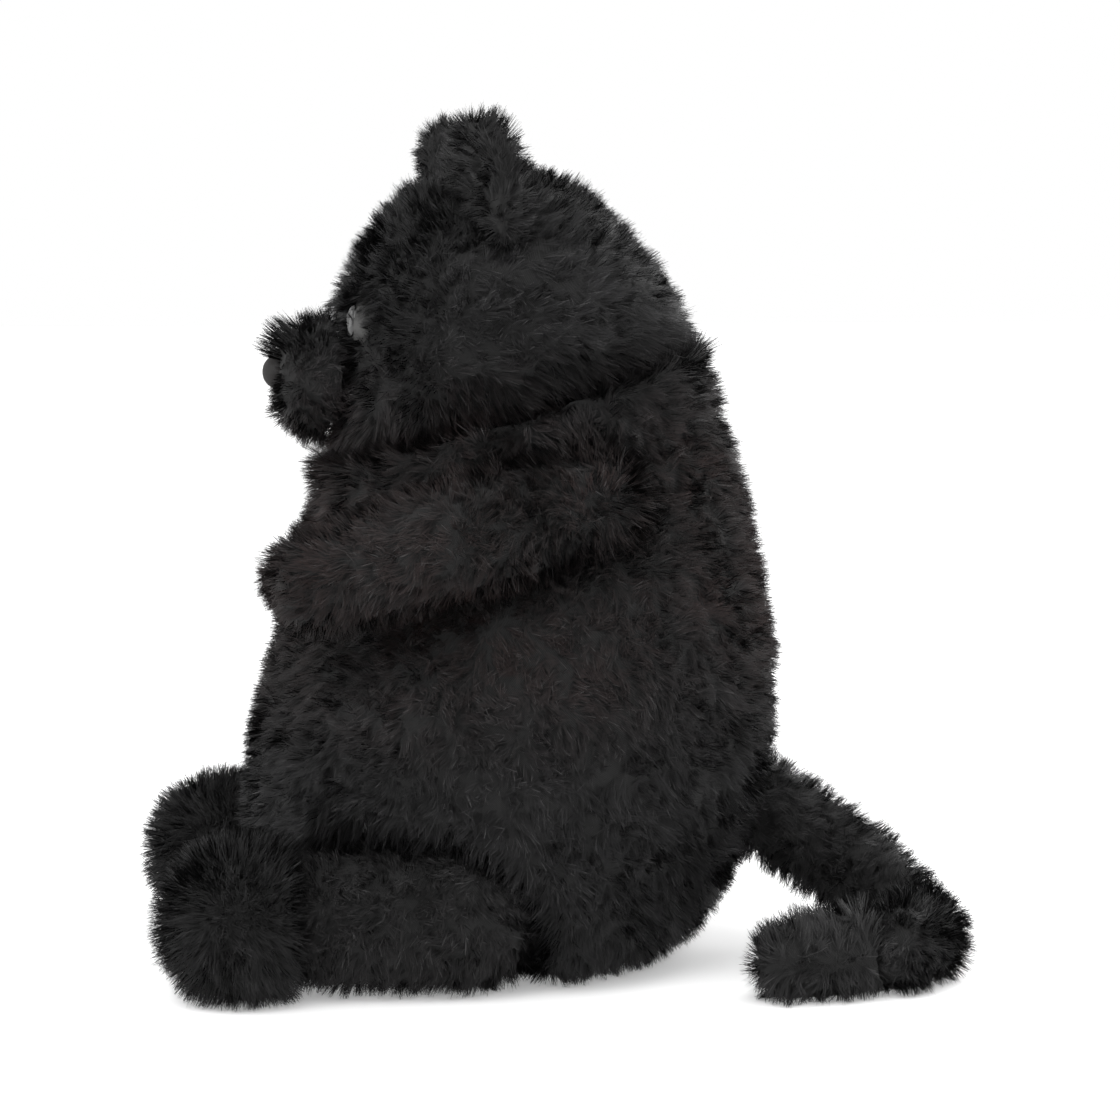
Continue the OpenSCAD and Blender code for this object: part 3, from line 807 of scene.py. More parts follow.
def plug(place: Matrix, radius: float, low: float, high: float) -> tuple[np.ndarray, np.ndarray]:
    """A closed round plug along the +Z of a place.

    Args:
        place: Where it stands.
        radius: Its radius.
        low: Where it starts along +Z.
        high: Where it ends along +Z.

    Returns:
        Its points and its triangles.
    """
    count = 24
    turns = np.arange(count) * 2 * math.pi / count
    rim = np.stack([np.cos(turns) * radius, np.sin(turns) * radius, np.zeros(count)], 1)
    points = np.concatenate([rim + [0, 0, low], rim + [0, 0, high], [[0, 0, low], [0, 0, high]]])
    i = np.arange(count)
    j = (i + 1) % count
    triangles = np.concatenate([
        np.stack([i, j, j + count], 1), np.stack([i, j + count, i + count], 1),
        np.stack([j, i, np.full(count, 2 * count)], 1),
        np.stack([i + count, j + count, np.full(count, 2 * count + 1)], 1),
    ])
    matrix = np.array(place)
    return points @ matrix[:3, :3].T + matrix[:3, 3], triangles


@dataclass(frozen=True)
class Pocket:
    """The hollow that a sewn-on limb swings in, which the skin closes over."""

    joint: str
    nodes: tuple[str, ...]
    angles: tuple[float, ...]
    reach: float = 7.0

    def touched(self, points: np.ndarray) -> np.ndarray:
        """Finds the skin's points beside the limb, anywhere in its travel.

        Args:
            points: The skin's points.

        Returns:
            Which of them lie beside it.
        """
        middle, axis = joint_axis(self.joint)
        found = np.zeros(len(points), bool)
        reach = self.reach * MM
        for node in self.nodes:
            limb, triangles = node_points(node)
            for angle in self.angles:
                turn = np.array(Matrix.Rotation(math.radians(angle), 3, Vector(axis)))
                moved = (limb - middle) @ turn.T + middle
                tree = BVHTree.FromPolygons(moved.tolist(), triangles.tolist())
                inside = (points > moved.min(0) - reach).all(1)
                inside &= (points < moved.max(0) + reach).all(1)
                for i in np.flatnonzero(inside & ~found):
                    found[i] = tree.find_nearest(Vector(points[i]), reach)[0] is not None
        return found


def split_at_neck(points: np.ndarray) -> tuple[np.ndarray, np.ndarray, np.ndarray]:
    """Splits points into the way along the neck's axis and the way out from it.

    Args:
        points: The points.

    Returns:
        How far each lies along the axis, the way out to it, and the axis.
    """
    middle, axis = joint_axis("head_turn")
    axis = unit(axis)
    away = points - middle
    along = away @ axis
    return along, away - along[:, None] * axis, axis


def below_neck(points: np.ndarray, clear: float) -> np.ndarray:
    """Finds the points that lie well below the plane of the neck seam.

    Args:
        points: The points to sort.
        clear: The least distance from the plane, in millimetres.

    Returns:
        Which of them lie below it.
    """
    return split_at_neck(points)[0] < -(NECK_DROP + clear) * MM


def close_over(mesh: bpy.types.Mesh, points: np.ndarray, hollow: np.ndarray) -> np.ndarray:
    """Stretches the skin over its hollows, as cloth spans the place where a limb is sewn on.

    Args:
        mesh: The skin's mesh.
        points: Its points.
        hollow: Which of them lie in a hollow.

    Returns:
        The moved points.
    """
    ends = np.zeros(len(mesh.edges) * 2, np.int64)
    mesh.edges.foreach_get("vertices", ends)
    a, b = ends.reshape(-1, 2).T
    degree = np.bincount(np.concatenate([a, b]), minlength=len(points))
    degree = np.maximum(degree, 1)[:, None]
    moved = points.copy()
    for _ in range(CLOSING_ROUNDS):
        total = np.zeros_like(moved)
        for k in range(3):
            total[:, k] = np.bincount(a, moved[b, k], len(points)) + np.bincount(
                b, moved[a, k], len(points)
            )
        moved[hollow] = total[hollow] / degree[hollow]
    return moved


@dataclass
class PaddedForm:
    """A stuffed cloth form: one skin over several CAD nodes, sewn from panels of pile."""

    name: str
    body: str
    panels: tuple[str, ...]
    filling: tuple[str, ...]
    pile: Pile
    finish: PileFinish
    slot: str
    voxel: float = 4.0
    inset: float = 1.4
    rest_height: float = 14.0
    puff: float = 2.0
    fill: float = 0.8
    seed: int = 1
    trims: dict[str, Trim] = field(default_factory=dict)
    furrow: float = 1.0
    plugs: tuple[tuple[Matrix, float, float, float], ...] = ()
    pockets: tuple[Pocket, ...] = ()
    shape: Callable[[np.ndarray], np.ndarray] | None = None
    shape_filling: bool = False
    filling_gap: float = 1.4
    steps: int = 20

    def shell(self) -> bpy.types.Object:
        """The closed outer skin round all the form's CAD nodes."""
        solids = [node_points(node) for node in (*self.panels, *self.filling)]
        solids += [plug(place, *(size * MM for size in sizes)) for place, *sizes in self.plugs]
        points, triangles, start = [], [], 0
        for p, t in solids:
            points.append(p)
            triangles.append(t + start)
            start += len(p)
        mesh = mesh_from_arrays(
            self.name, np.concatenate(points), np.zeros((0, 4), int), np.concatenate(triangles)
        )
        skin = take(add_object(self.name, mesh))
        bpy.ops.object.mode_set(mode="EDIT")
        bpy.ops.mesh.select_all(action="SELECT")
        bpy.ops.mesh.remove_doubles(threshold=0.00001)
        bpy.ops.object.mode_set(mode="OBJECT")
        self.draw_in(skin, 3, self.inset)
        points = places_of(skin.data)
        low = np.clip(1 - points[:, 2] / (self.rest_height * MM), 0, 1)
        points[:, 2] -= self.inset * MM * low
        if self.pockets:
            hollow = np.any([pocket.touched(points) for pocket in self.pockets], axis=0)
            hollow &= below_neck(points, NECK_CLEAR)
            points = close_over(skin.data, points, hollow)
        if self.shape:
            points = self.shape(points)
        move_to(skin.data, points)
        return skin

    def draw_in(self, piece: bpy.types.Object, rounds: int, depth: float) -> None:
        """Joins a piece's solids into one smooth skin, and draws it inwards.

        Args:
            piece: The piece.
            rounds: How many times it is smoothed.
            depth: How far it is drawn in, in millimetres.
        """
        remesh = piece.modifiers.new("Remesh", "REMESH")
        remesh.mode = "VOXEL"
        remesh.voxel_size = self.voxel * MM
        smooth = piece.modifiers.new("Smooth", "SMOOTH")
        smooth.iterations = rounds
        inward = piece.modifiers.new("Displace", "DISPLACE")
        inward.mid_level = 0.0
        inward.strength = -depth * MM
        apply_modifiers(piece)

    def filling_piece(self, node: str) -> bpy.types.Object:
        """Makes the fibre filling, clear of the skin round it.

        Args:
            node: The CAD node of the filling.

        Returns:
            The piece.
        """
        points, triangles = node_points(node)
        name = f"{node}_fibre"
        made = add_object(
            name, mesh_from_arrays(name, points, np.zeros((0, 4), int), triangles)
        )
        self.draw_in(made, 4, self.inset + self.filling_gap)
        if self.shape and self.shape_filling:
            move_to(made.data, self.shape(places_of(made.data)))
        made.data.materials.clear()
        made.data.materials.append(WHITE_FIBRE.material())
        take(made)
        bpy.ops.object.shade_smooth()
        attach(made, self.body)
        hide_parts(node)
        LOG.info("%s: %d faces, on %s", name, len(made.data.polygons), self.body)
        return made

    def stuff(self, skin: bpy.types.Object) -> None:
        """Blows the skin up a little as its filling does, and lets it settle.

        Args:
            skin: The closed skin.
        """
        if self.puff > 0:
            before = places_of(skin.data)
            cloth = skin.modifiers.new("Cloth", "CLOTH")
            cloth.settings.use_pressure = True
            cloth.settings.uniform_pressure_force = 4
            cloth.settings.effector_weights.gravity = 0
            scene = bpy.context.scene
            scene.frame_start, scene.frame_end = 1, self.steps
            cloth.point_cache.frame_start, cloth.point_cache.frame_end = 1, self.steps
            for step in range(1, self.steps + 1):
                scene.frame_set(step)
            apply_modifiers(skin)
            scene.frame_set(1)
            move = places_of(skin.data) - before
            far = np.linalg.norm(move, axis=1, keepdims=True)
            cap = self.puff * MM
            move *= np.minimum(1.0, cap / np.maximum(far, 1e-9))
            settled = before + move
            settled[:, 2] = np.maximum(settled[:, 2], 0.0)
            move_to(skin.data, settled)
        soften = skin.modifiers.new("Smooth", "SMOOTH")
        soften.iterations = 2
        apply_modifiers(skin)

    def read(self, skin: bpy.types.Object) -> Skin:
        """Turns the skin into arrays, finds each face's panel, and draws the seams in.

        Args:
            skin: The settled skin.

        Returns:
            The skin as arrays.
        """
        mesh = skin.data
        points, corners = places_of(mesh), triangles_of(mesh)
        normals = np.zeros(len(mesh.vertices) * 3)
        mesh.vertices.foreach_get("normal", normals)
        normals = normals.reshape(-1, 3)
        trees = [BVHTree.FromPolygons(*(x.tolist() for x in node_points(n))) for n in self.panels]
        middles = points[corners].mean(1)
        panel = np.zeros(len(corners), np.int64)
        if len(trees) > 1:
            for i, middle in enumerate(middles):
                spot = Vector(middle)
                panel[i] = min(
                    range(len(trees)), key=lambda k: trees[k].find_nearest(spot)[3] or 0.0
                )
        seams = np.zeros(len(points))
        for i in range(len(trees)):
            touch = np.zeros(len(points), bool)
            touch[corners[panel == i].ravel()] = True
            seams += touch
        edge = seams > 1
        points[edge] -= normals[edge] * self.furrow * MM
        return Skin(points, normals, corners, panel)

    def build(self) -> list[bpy.types.Object]:
        """Makes the form's pieces, one for each panel.

        Returns:
            The pieces, each riding on the form's body.
        """
        shell = self.shell()
        self.stuff(shell)
        skin = self.read(shell)
        made = [self.piece(skin, i, node) for i, node in enumerate(self.panels)]
        made += [self.filling_piece(node) for node in self.filling if "stuffing" in node]
        bpy.data.objects.remove(shell)
        return made

    def piece(self, skin: Skin, index: int, node: str) -> bpy.types.Object:
        """Makes one panel's piece: its cloth and its pile in one mesh.

        Args:
            skin: The form's skin.
            index: Which panel it is.
            node: The CAD node that the piece stands for.

        Returns:
            The piece.
        """
        cloth = skin.triangles[skin.panel == index]
        used, cloth = np.unique(cloth, return_inverse=True)
        cloth = cloth.reshape(-1, 3)
        points = skin.points[used]
        flat = len(points)
        strands = grow(skin, self.pile, index, self.seed * 31 + index, self.trims.get(node))
        name = f"{node}_pile"
        mesh = mesh_from_arrays(
            name, np.concatenate([points, strands.points]), strands.quads + flat, cloth
        )
        for label, numbers in (
            ("pile_height", strands.height), ("strand_tone", strands.tone),
            ("tuft_tone", strands.tuft),
        ):
            values = np.concatenate([np.zeros(flat), numbers]).astype(np.float32)
            mesh.attributes.new(label, "FLOAT", "POINT").data.foreach_set("value", values)
        quads = len(strands.quads)
        slots = np.zeros(quads + len(cloth), np.int32)
        slots[quads:] = 1
        mesh.materials.append(self.finish.material())
        mesh.materials.append(BACKING.material())
        mesh.polygons.foreach_set("material_index", slots)
        mesh.polygons.foreach_set("use_smooth", np.ones(len(slots), bool))
        mesh.normals_split_custom_set_from_vertices(
            np.concatenate([skin.normals[used], strands.facing])
        )
        made = add_object(name, mesh)
        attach(made, self.body)
        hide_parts(node)
        LOG.info("%s: %d faces, on %s", name, len(mesh.polygons), self.body)
        return made


# ---- Torso -------------------------------------------------------------------------


def comb_over_neck(
    roots: np.ndarray, trim: Trimmed, sign: float, reach: float, bowl_edge: float
) -> Trimmed:
    """Combs the pile beside the neck seam over it, and bares the bowl and the ball inside it.

    Args:
        roots: The strands' lowest points.
        trim: Length factors, extra directions and their shares so far.
        sign: 1 combs up towards the head, -1 combs down towards the torso.
        reach: How far from the seam the combing starts, in millimetres.
        bowl_edge: The radius inside which the bowl and the ball are bare, in millimetres.

    Returns:
        The changed factors, directions and shares.
    """
    factor, extra, share = trim
    along, outward, axis = split_at_neck(roots)
    off = np.linalg.norm(outward, axis=1)
    seam = -NECK_DROP * MM
    near = np.clip(1 - np.abs(along - seam) / (reach * MM), 0, 1)
    mine = (off > bowl_edge * MM) & (near > 0)
    extra[mine] = unit(unit(outward[mine]) * 0.8 + axis * sign * 0.75)
    share[mine] = np.maximum(share[mine], near[mine] ** 0.5 * 0.75)
    factor[mine] *= 1 + 0.5 * near[mine]
    factor[(off < bowl_edge * MM) & (np.abs(along - seam) < BOWL_DEPTH * MM)] = 0.0
    return factor, extra, share


def close_neck(points: np.ndarray, sign: float) -> np.ndarray:
    """Brings a rim of the neck seam up to the other one, as the ladder stitches do.

    Args:
        points: The skin's points.
        sign: 1 for the torso's rim, -1 for the head's.

    Returns:
        The moved points.
    """
    along, outward, axis = split_at_neck(points)
    off = np.linalg.norm(outward, axis=1)
    near = np.clip(1 - np.abs(along + NECK_DROP * MM) / (RIM_REACH * MM), 0, 1)
    near *= np.clip((off - RIM_START * MM) / (RIM_WIDTH * MM), 0, 1)
    lift, spread = axis * sign * RIM_LIFT * MM, unit(outward) * RIM_SPREAD * MM
    return points + near[:, None] * (lift + spread)


def comb_over_limb(
    roots: np.ndarray, trim: Trimmed, start: Vector, end: Vector, radius: float, reach: float,
    sign: float,
) -> Trimmed:
    """Combs the pile beside a limb's seam over the seam.

    Args:
        roots: The strands' lowest points.
        trim: Length factors, extra directions and their shares so far.
        start: One end of the limb's middle line.
        end: Its other end.
        radius: The limb's radius, in millimetres.
        reach: How far from the limb the combing starts, in millimetres.
        sign: 1 combs towards the limb, -1 combs away from it.

    Returns:
        The changed factors, directions and shares.
    """
    factor, extra, share = trim
    a, way = np.array(start), np.array(end - start)
    place = np.clip((roots - a) @ way / max(way @ way, 1e-12), 0, 1)
    toward = a + place[:, None] * way - roots
    away = np.linalg.norm(toward, axis=1) / MM
    near = np.clip(1 - np.abs(away - radius) / reach, 0, 1)
    mine = near > 0
    middle = np.array([0.0, 0.022, 0.0])
    outward = unit((roots[mine] - middle) * np.array([1.0, 1.0, 0.0]))
    extra[mine] = unit(outward * 0.9 + unit(toward[mine]) * sign * 0.6)
    share[mine] = np.maximum(share[mine], near[mine] ** 0.5 * 0.7)
    factor[mine] *= 1 + 0.35 * near[mine]
    return factor, extra, share


@dataclass
class Torso:
    """The pear-shaped body, with its seat, its closing stitches and its filling."""

    pile: Pile = field(default_factory=Pile)
    seat_length: float = 0.45
    bowl_edge: float = 56.0
    shoulder_radius: float = 21.0
    shoulder_reach: float = 12.0
    hip_radius: float = 28.0
    hip_reach: float = 9.0
    neck_reach: float = 12.0
    arm_turns: tuple[tuple[str, tuple[float, ...]], ...] = (
        ("left", (-9, 0, 9)), ("right", (-18, -9, 0))
    )
    leg_turns: tuple[float, ...] = (-3, 0)
    leg_room: float = 9.5
    tail_room: float = 5.0

    def pockets(self) -> tuple[Pocket, ...]:
        """The hollows that the arms, the legs and the tail lie in."""
        found = []
        for side, turns in self.arm_turns:
            arm = tuple(f"arm_{part}_panel_{side}" for part in ("upper", "lower"))
            leg = tuple(f"leg_{part}_panel_{side}" for part in ("upper", "lower"))
            found.append(Pocket(f"arm_{side}_swing", arm, turns))
            found.append(Pocket(f"leg_{side}_splay", leg, self.leg_turns, self.leg_room))
        tail = ("tail_root_top", "tail_root_bottom")
        found.append(Pocket("tail_swing", tail, (0,), self.tail_room))
        return tuple(found)

    def body_trim(self, roots: np.ndarray, normals: np.ndarray) -> Trimmed:
        """Combs the pile over the seams of the neck and the limbs, and leaves the bowl bare.

        Args:
            roots: The strands' lowest points.
            normals: The cloth's directions there; not used.

        Returns:
            Length factors, extra directions and their shares.
        """
        trim = comb_over_neck(roots, plain_trim(roots), 1.0, self.neck_reach, self.bowl_edge)
        for side in SIDES:
            shoulder = joint_place(f"arm_{side}_swing")
            hip, ankle = joint_place(f"leg_{side}_splay"), joint_place(f"foot_{side}_turn")
            for start, end, radius, reach in (
                (shoulder, shoulder, self.shoulder_radius, self.shoulder_reach),
                (hip, ankle, self.hip_radius, self.hip_reach),
            ):
                trim = comb_over_limb(roots, trim, start, end, radius, reach, 1.0)
        return trim

    def seat_trim(self, roots: np.ndarray, normals: np.ndarray) -> Trimmed:
        """Keeps the pile of the seat short, as it is pressed flat.

        Args:
            roots: The strands' lowest points.
            normals: The cloth's directions there; not used.

        Returns:
            Length factors, extra directions and their shares.
        """
        factor, extra, share = plain_trim(roots)
        return factor * self.seat_length, extra, share

    def build(self) -> list[bpy.types.Object]:
        """Makes the torso's pieces.

        Returns:
            The pieces.
        """
        form = PaddedForm(
            "torso", "torso",
            ("torso_side_left", "torso_side_right", "belly_panel", "seat_panel"),
            ("torso_stuffing", "pellet_bag_top", "pellet_bag_bottom", "pellets"),
            self.pile, BODY_PILE, "fur_body", voxel=4.5, puff=2.0, seed=3,
            shape=partial(close_neck, sign=1.0), pockets=self.pockets(),
        )
        for node in form.panels[:3]:
            form.trims[node] = self.body_trim
        form.trims["seat_panel"] = self.seat_trim
        return form.build()


# ---- Head --------------------------------------------------------------------------


@dataclass
class Head:
    """The head with its face, muzzle, eyes and nose."""

    pile: Pile = field(
        default_factory=lambda: Pile(
            length=5.6, lay=Lay.BACK, middle=(0.0, -0.055, 0.225), lay_share=0.3
        )
    )
    muzzle_pile: Pile = field(
        default_factory=lambda: Pile(
            length=5.2, lay=Lay.BACK, middle=(0.0, -0.062, 0.203), lay_share=0.5, tuft=3.0
        )
    )
    eye_margin: float = -3.6
    eye_scale: float = 0.86
    pupil_radius: float = 4.6
    pupil_shift: float = 2.6
    plug_sizes: tuple[float, float, float] = (11.5, -22.0, -6.2)
    eye_bulge: float = 4.2
    eye_sink: float = 4.9
    lid_depth: float = 6.5
    ball_edge: float = 50.0
    neck_reach: float = 14.0
    socket_low: float = -30.0
    socket_high: float = 12.0
    lid_slope: float = 0.35
    lid_start: float = 1.5
    lower_lid: float = 3.0
    nose_clear: float = 4.0
    nose_reach: float = 9.0
    tuft_width: float = 9.0
    tuft_reach: float = 17.0
    nose_depth: float = 9.0

    def eye_frames(self) -> list[Matrix]:
        """The place of each eye, with +Z out of the face and +Y up.

        Returns:
            A matrix for the left eye and one for the right eye.
        """
        found = []
        for side in SIDES:
            low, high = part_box(f"pupil_{side}")
            washer_low, washer_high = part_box(f"eye_washer_{side}")
            out = ((low + high) / 2 - (washer_low + washer_high) / 2).normalized()
            across = Vector((0, 0, 1)).cross(out).normalized()
            up = out.cross(across)
            turn = Matrix((across, up, out)).transposed().to_4x4()
            found.append(Matrix.Translation((low + high) / 2) @ turn)
        return found

    def face_trim(self, roots: np.ndarray, normals: np.ndarray) -> Trimmed:
        """Clears the eyes, and combs a heavy lid down over each of them.

        Args:
            roots: The strands' lowest points.
            normals: The cloth's directions there; not used.

        Returns:
            Length factors, extra directions and their shares.
        """
        factor, extra, share = plain_trim(roots)
        eye_r = (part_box("eye_left")[1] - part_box("eye_left")[0]).z / 2 / MM
        for place in self.eye_frames():
            inverse = np.array(place.inverted())
            local = (roots @ inverse[:3, :3].T + inverse[:3, 3]) / MM
            u, v, w = local.T
            inward = -np.sign(place.translation.x)
            off = np.hypot(u, v) - eye_r
            beside = (w > self.socket_low) & (w < self.socket_high)
            near = (off < self.eye_margin) & beside
            factor[near] = 0.0
            slope = self.lid_slope * u * inward
            lid = ~near & (off < self.lid_depth) & (v > self.lid_start - slope) & beside
            out, up = np.array(place.col[2][:3]), np.array(place.col[1][:3])
            extra[lid] = unit(out * 0.8 - up * 0.6)
            share[lid] = 0.7
            factor[lid] = 1.15
            low = ~near & (off < self.lower_lid) & (v < -1) & beside
            factor[low] = 0.75
            extra[low] = unit(out * 0.85 + up * 0.4)
            share[low] = 0.5
        muzzle_low, muzzle_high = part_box("muzzle_cover")
        middle = (muzzle_low + muzzle_high) / 2
        size = (muzzle_high - muzzle_low) / 2
        under = (
            ((roots[:, 0] - middle.x) / size.x) ** 2 + ((roots[:, 2] - middle.z) / size.z) ** 2 < 0.6
        )
        factor[under] = 0.0
        return comb_over_neck(roots, (factor, extra, share), -1.0, self.neck_reach, self.ball_edge)

    def side_trim(self, roots: np.ndarray, normals: np.ndarray) -> Trimmed:
        """Combs the pile of the head's sides over the neck seam.

        Args:
            roots: The strands' lowest points.
            normals: The cloth's directions there; not used.

        Returns:
            Length factors, extra directions and their shares.
        """
        return comb_over_neck(roots, plain_trim(roots), -1.0, self.neck_reach, self.ball_edge)

    def muzzle_trim(self, roots: np.ndarray, normals: np.ndarray) -> Trimmed:
        """Leaves the muzzle's flat back bare, and shortens the pile round the nose.

        Args:
            roots: The strands' lowest points.
            normals: The cloth's directions there.

        Returns:
            Length factors, extra directions and their shares.
        """
        factor, extra, share = plain_trim(roots)
        low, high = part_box("nose")
        tip = np.array([0.0, low.y, (low.z + high.z) / 2])
        away = np.linalg.norm((roots - tip) * np.array([1.0, 0.6, 1.0]), axis=1) / MM
        factor = np.clip((away - self.nose_clear) / self.nose_reach, 0.3, 1.0)
        tuft = (roots[:, 2] > high.z - 1 * MM) & (away < self.tuft_reach)
        tuft &= np.abs(roots[:, 0]) < self.tuft_width * MM
        factor[tuft] = 1.45
        extra[tuft] = unit(np.array([0.0, -0.9, 0.35]))
        share[tuft] = 0.75
        factor[normals[:, 1] > 0.8] = 0.0
        return factor, extra, share

    def build(self) -> list[bpy.types.Object]:
        """Makes the head's pieces.

        Returns:
            The pieces.
        """
        head = PaddedForm(
            "head", "head", ("face_panel", "head_side_left", "head_side_right", "neck_lining"),
            ("head_stuffing",), self.pile, BODY_PILE, "fur_body", voxel=4.0, inset=2.0, puff=1.5,
            seed=5, shape=partial(close_neck, sign=-1.0),
            plugs=tuple((place, *self.plug_sizes) for place in self.eye_frames()),
        )
        head.trims["face_panel"] = self.face_trim
        for node in ("head_side_left", "head_side_right", "neck_lining"):
            head.trims[node] = self.side_trim
        muzzle = PaddedForm(
            "muzzle", "head", ("muzzle_cover",), ("muzzle_stuffing",), self.muzzle_pile,
            BODY_PILE, "fur_body", voxel=2.2, inset=1.6, puff=0.8, seed=6,
        )
        muzzle.trims["muzzle_cover"] = self.muzzle_trim
        return [*head.build(), *muzzle.build(), *self.eyes(), self.nose()]

    def eyes(self) -> list[bpy.types.Object]:
        """Makes the domed eyes and their glossy pupils.

        Returns:
            The four pieces.
        """
        made = []
        for side, place in zip(SIDES, self.eye_frames()):
            low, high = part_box(f"eye_{side}")
            radius = (high - low).z / 2 * self.eye_scale
            bulge = self.eye_bulge * MM
            ball = (radius**2 + bulge**2) / (2 * bulge)
            deselect()
            bpy.ops.mesh.primitive_uv_sphere_add(segments=64, ring_count=40, radius=ball)
            dome = bpy.context.object
            dome.name = f"eye_{side}_dome"
            bpy.ops.object.mode_set(mode="EDIT")
            bpy.ops.mesh.select_all(action="SELECT")
            bpy.ops.mesh.bisect(
                plane_co=(0, 0, ball - bulge), plane_no=(0, 0, 1), clear_inner=True, use_fill=True
            )
            bpy.ops.object.mode_set(mode="OBJECT")
            rim = dome.modifiers.new("Bevel", "BEVEL")
            rim.width = 0.5 * MM
            rim.segments = 3
            rim.angle_limit = math.radians(40)
            apply_modifiers(dome)
            bpy.ops.object.shade_smooth_by_angle(angle=math.radians(35))
            dome.matrix_world = place @ Matrix.Translation((0, 0, -self.eye_sink * MM - ball))
            bake_place(dome)
            dome.data.materials.append(EYE_SHELL.material())
            self.settle(dome, f"eye_{side}")
            deselect()
            bpy.ops.mesh.primitive_uv_sphere_add(segments=48, ring_count=24, radius=self.pupil_radius * MM)
            pupil = bpy.context.object
            pupil.name = f"pupil_{side}_bead"
            inward = -math.copysign(1.0, place.translation.x)
            flat = Matrix.Diagonal((0.8, 1.15, 0.42, 1))
            turn = Matrix.Rotation(inward * 0.22, 4, "Y")
            pupil.matrix_world = (
                place
                @ Matrix.Translation(
                    (inward * self.pupil_shift * MM, 0, -(self.eye_sink + 1.4) * MM)
                )
                @ turn @ flat
            )
            bake_place(pupil)
            bpy.ops.object.shade_smooth()
            pupil.data.materials.append(PUPIL.material())
            self.settle(pupil, f"pupil_{side}")
            made += [dome, pupil]
        return made

    def nose(self) -> bpy.types.Object:
        """Makes the rounded nose.

        Returns:
            The piece.
        """
        low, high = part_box("nose")
        width, height = high.x - low.x, high.z - low.z
        deselect()
        bpy.ops.mesh.primitive_uv_sphere_add(segments=40, ring_count=24, radius=0.55)
        nose = bpy.context.object
        nose.name = "nose_button"
        nose.scale = (width, self.nose_depth * MM, height)
        nose.location = (0, low.y + 5.2 * MM, (low.z + high.z) / 2)
        bake_place(nose)
        for vertex in nose.data.vertices:
            share = (vertex.co.z - low.z) / height
            vertex.co.x *= 0.52 + 0.48 * min(share * 1.5, 1.0)
            front = 1.0 - ((vertex.co.x / (width / 2)) ** 2) * 0.35
            vertex.co.y += (1 - front) * 3 * MM
        bpy.ops.object.shade_smooth()
        nose.data.materials.append(NOSE.material())
        self.settle(nose, "nose")
        return nose

    def settle(self, piece: bpy.types.Object, node: str) -> None:
        """Puts a hard piece on the head in place of its CAD node.

        Args:
            piece: The new piece.
            node: The CAD node that it stands for.
        """
        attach(piece, "head")
        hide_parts(node)
        LOG.info("%s: %d faces, on head", piece.name, len(piece.data.polygons))


@dataclass
class Ears:
    """The two upright ears, each of two layers sewn together."""

    pile: Pile = field(
        default_factory=lambda: Pile(
            length=5.2, lay=Lay.ALONG, toward=(0, 0, 1.0), lay_share=0.45, tuft=2.8, density=3.4
        )
    )
    seat_reach: float = 12.0
    seat_depth: float = 5.5

    def build(self) -> list[bpy.types.Object]:
        """Makes the ears' pieces.

        Returns:
            The pieces.
        """
        made = []
        for i, side in enumerate(SIDES):
            foot = joint_place(f"ear_{side}_flex")
            made += PaddedForm(
                f"ear_{side}", f"ear_{side}", (f"ear_front_{side}", f"ear_back_{side}"), (),
                self.pile, EAR_PILE, "fur_ears", voxel=2.0, inset=0.8, puff=0.8, fill=0.3,
                seed=8 + i, shape=partial(self.seat, foot=foot),
            ).build()
        return made

    def seat(self, points: np.ndarray, foot: Vector) -> np.ndarray:
        """Stretches the foot of an ear down to the head.

        Args:
            points: The skin's points.
            foot: The middle of the ear's foot.

        Returns:
            The moved points.
        """
        way = unit(np.array([math.copysign(0.5, foot.x), 0.0, 0.87]))
        height = (points - np.array(foot)) @ way / MM
        low = np.clip(1 - (height + 2) / self.seat_reach, 0, 1)[:, None]
        return points - low * way * self.seat_depth * MM


# ---- Limbs and tail ----------------------------------------------------------------


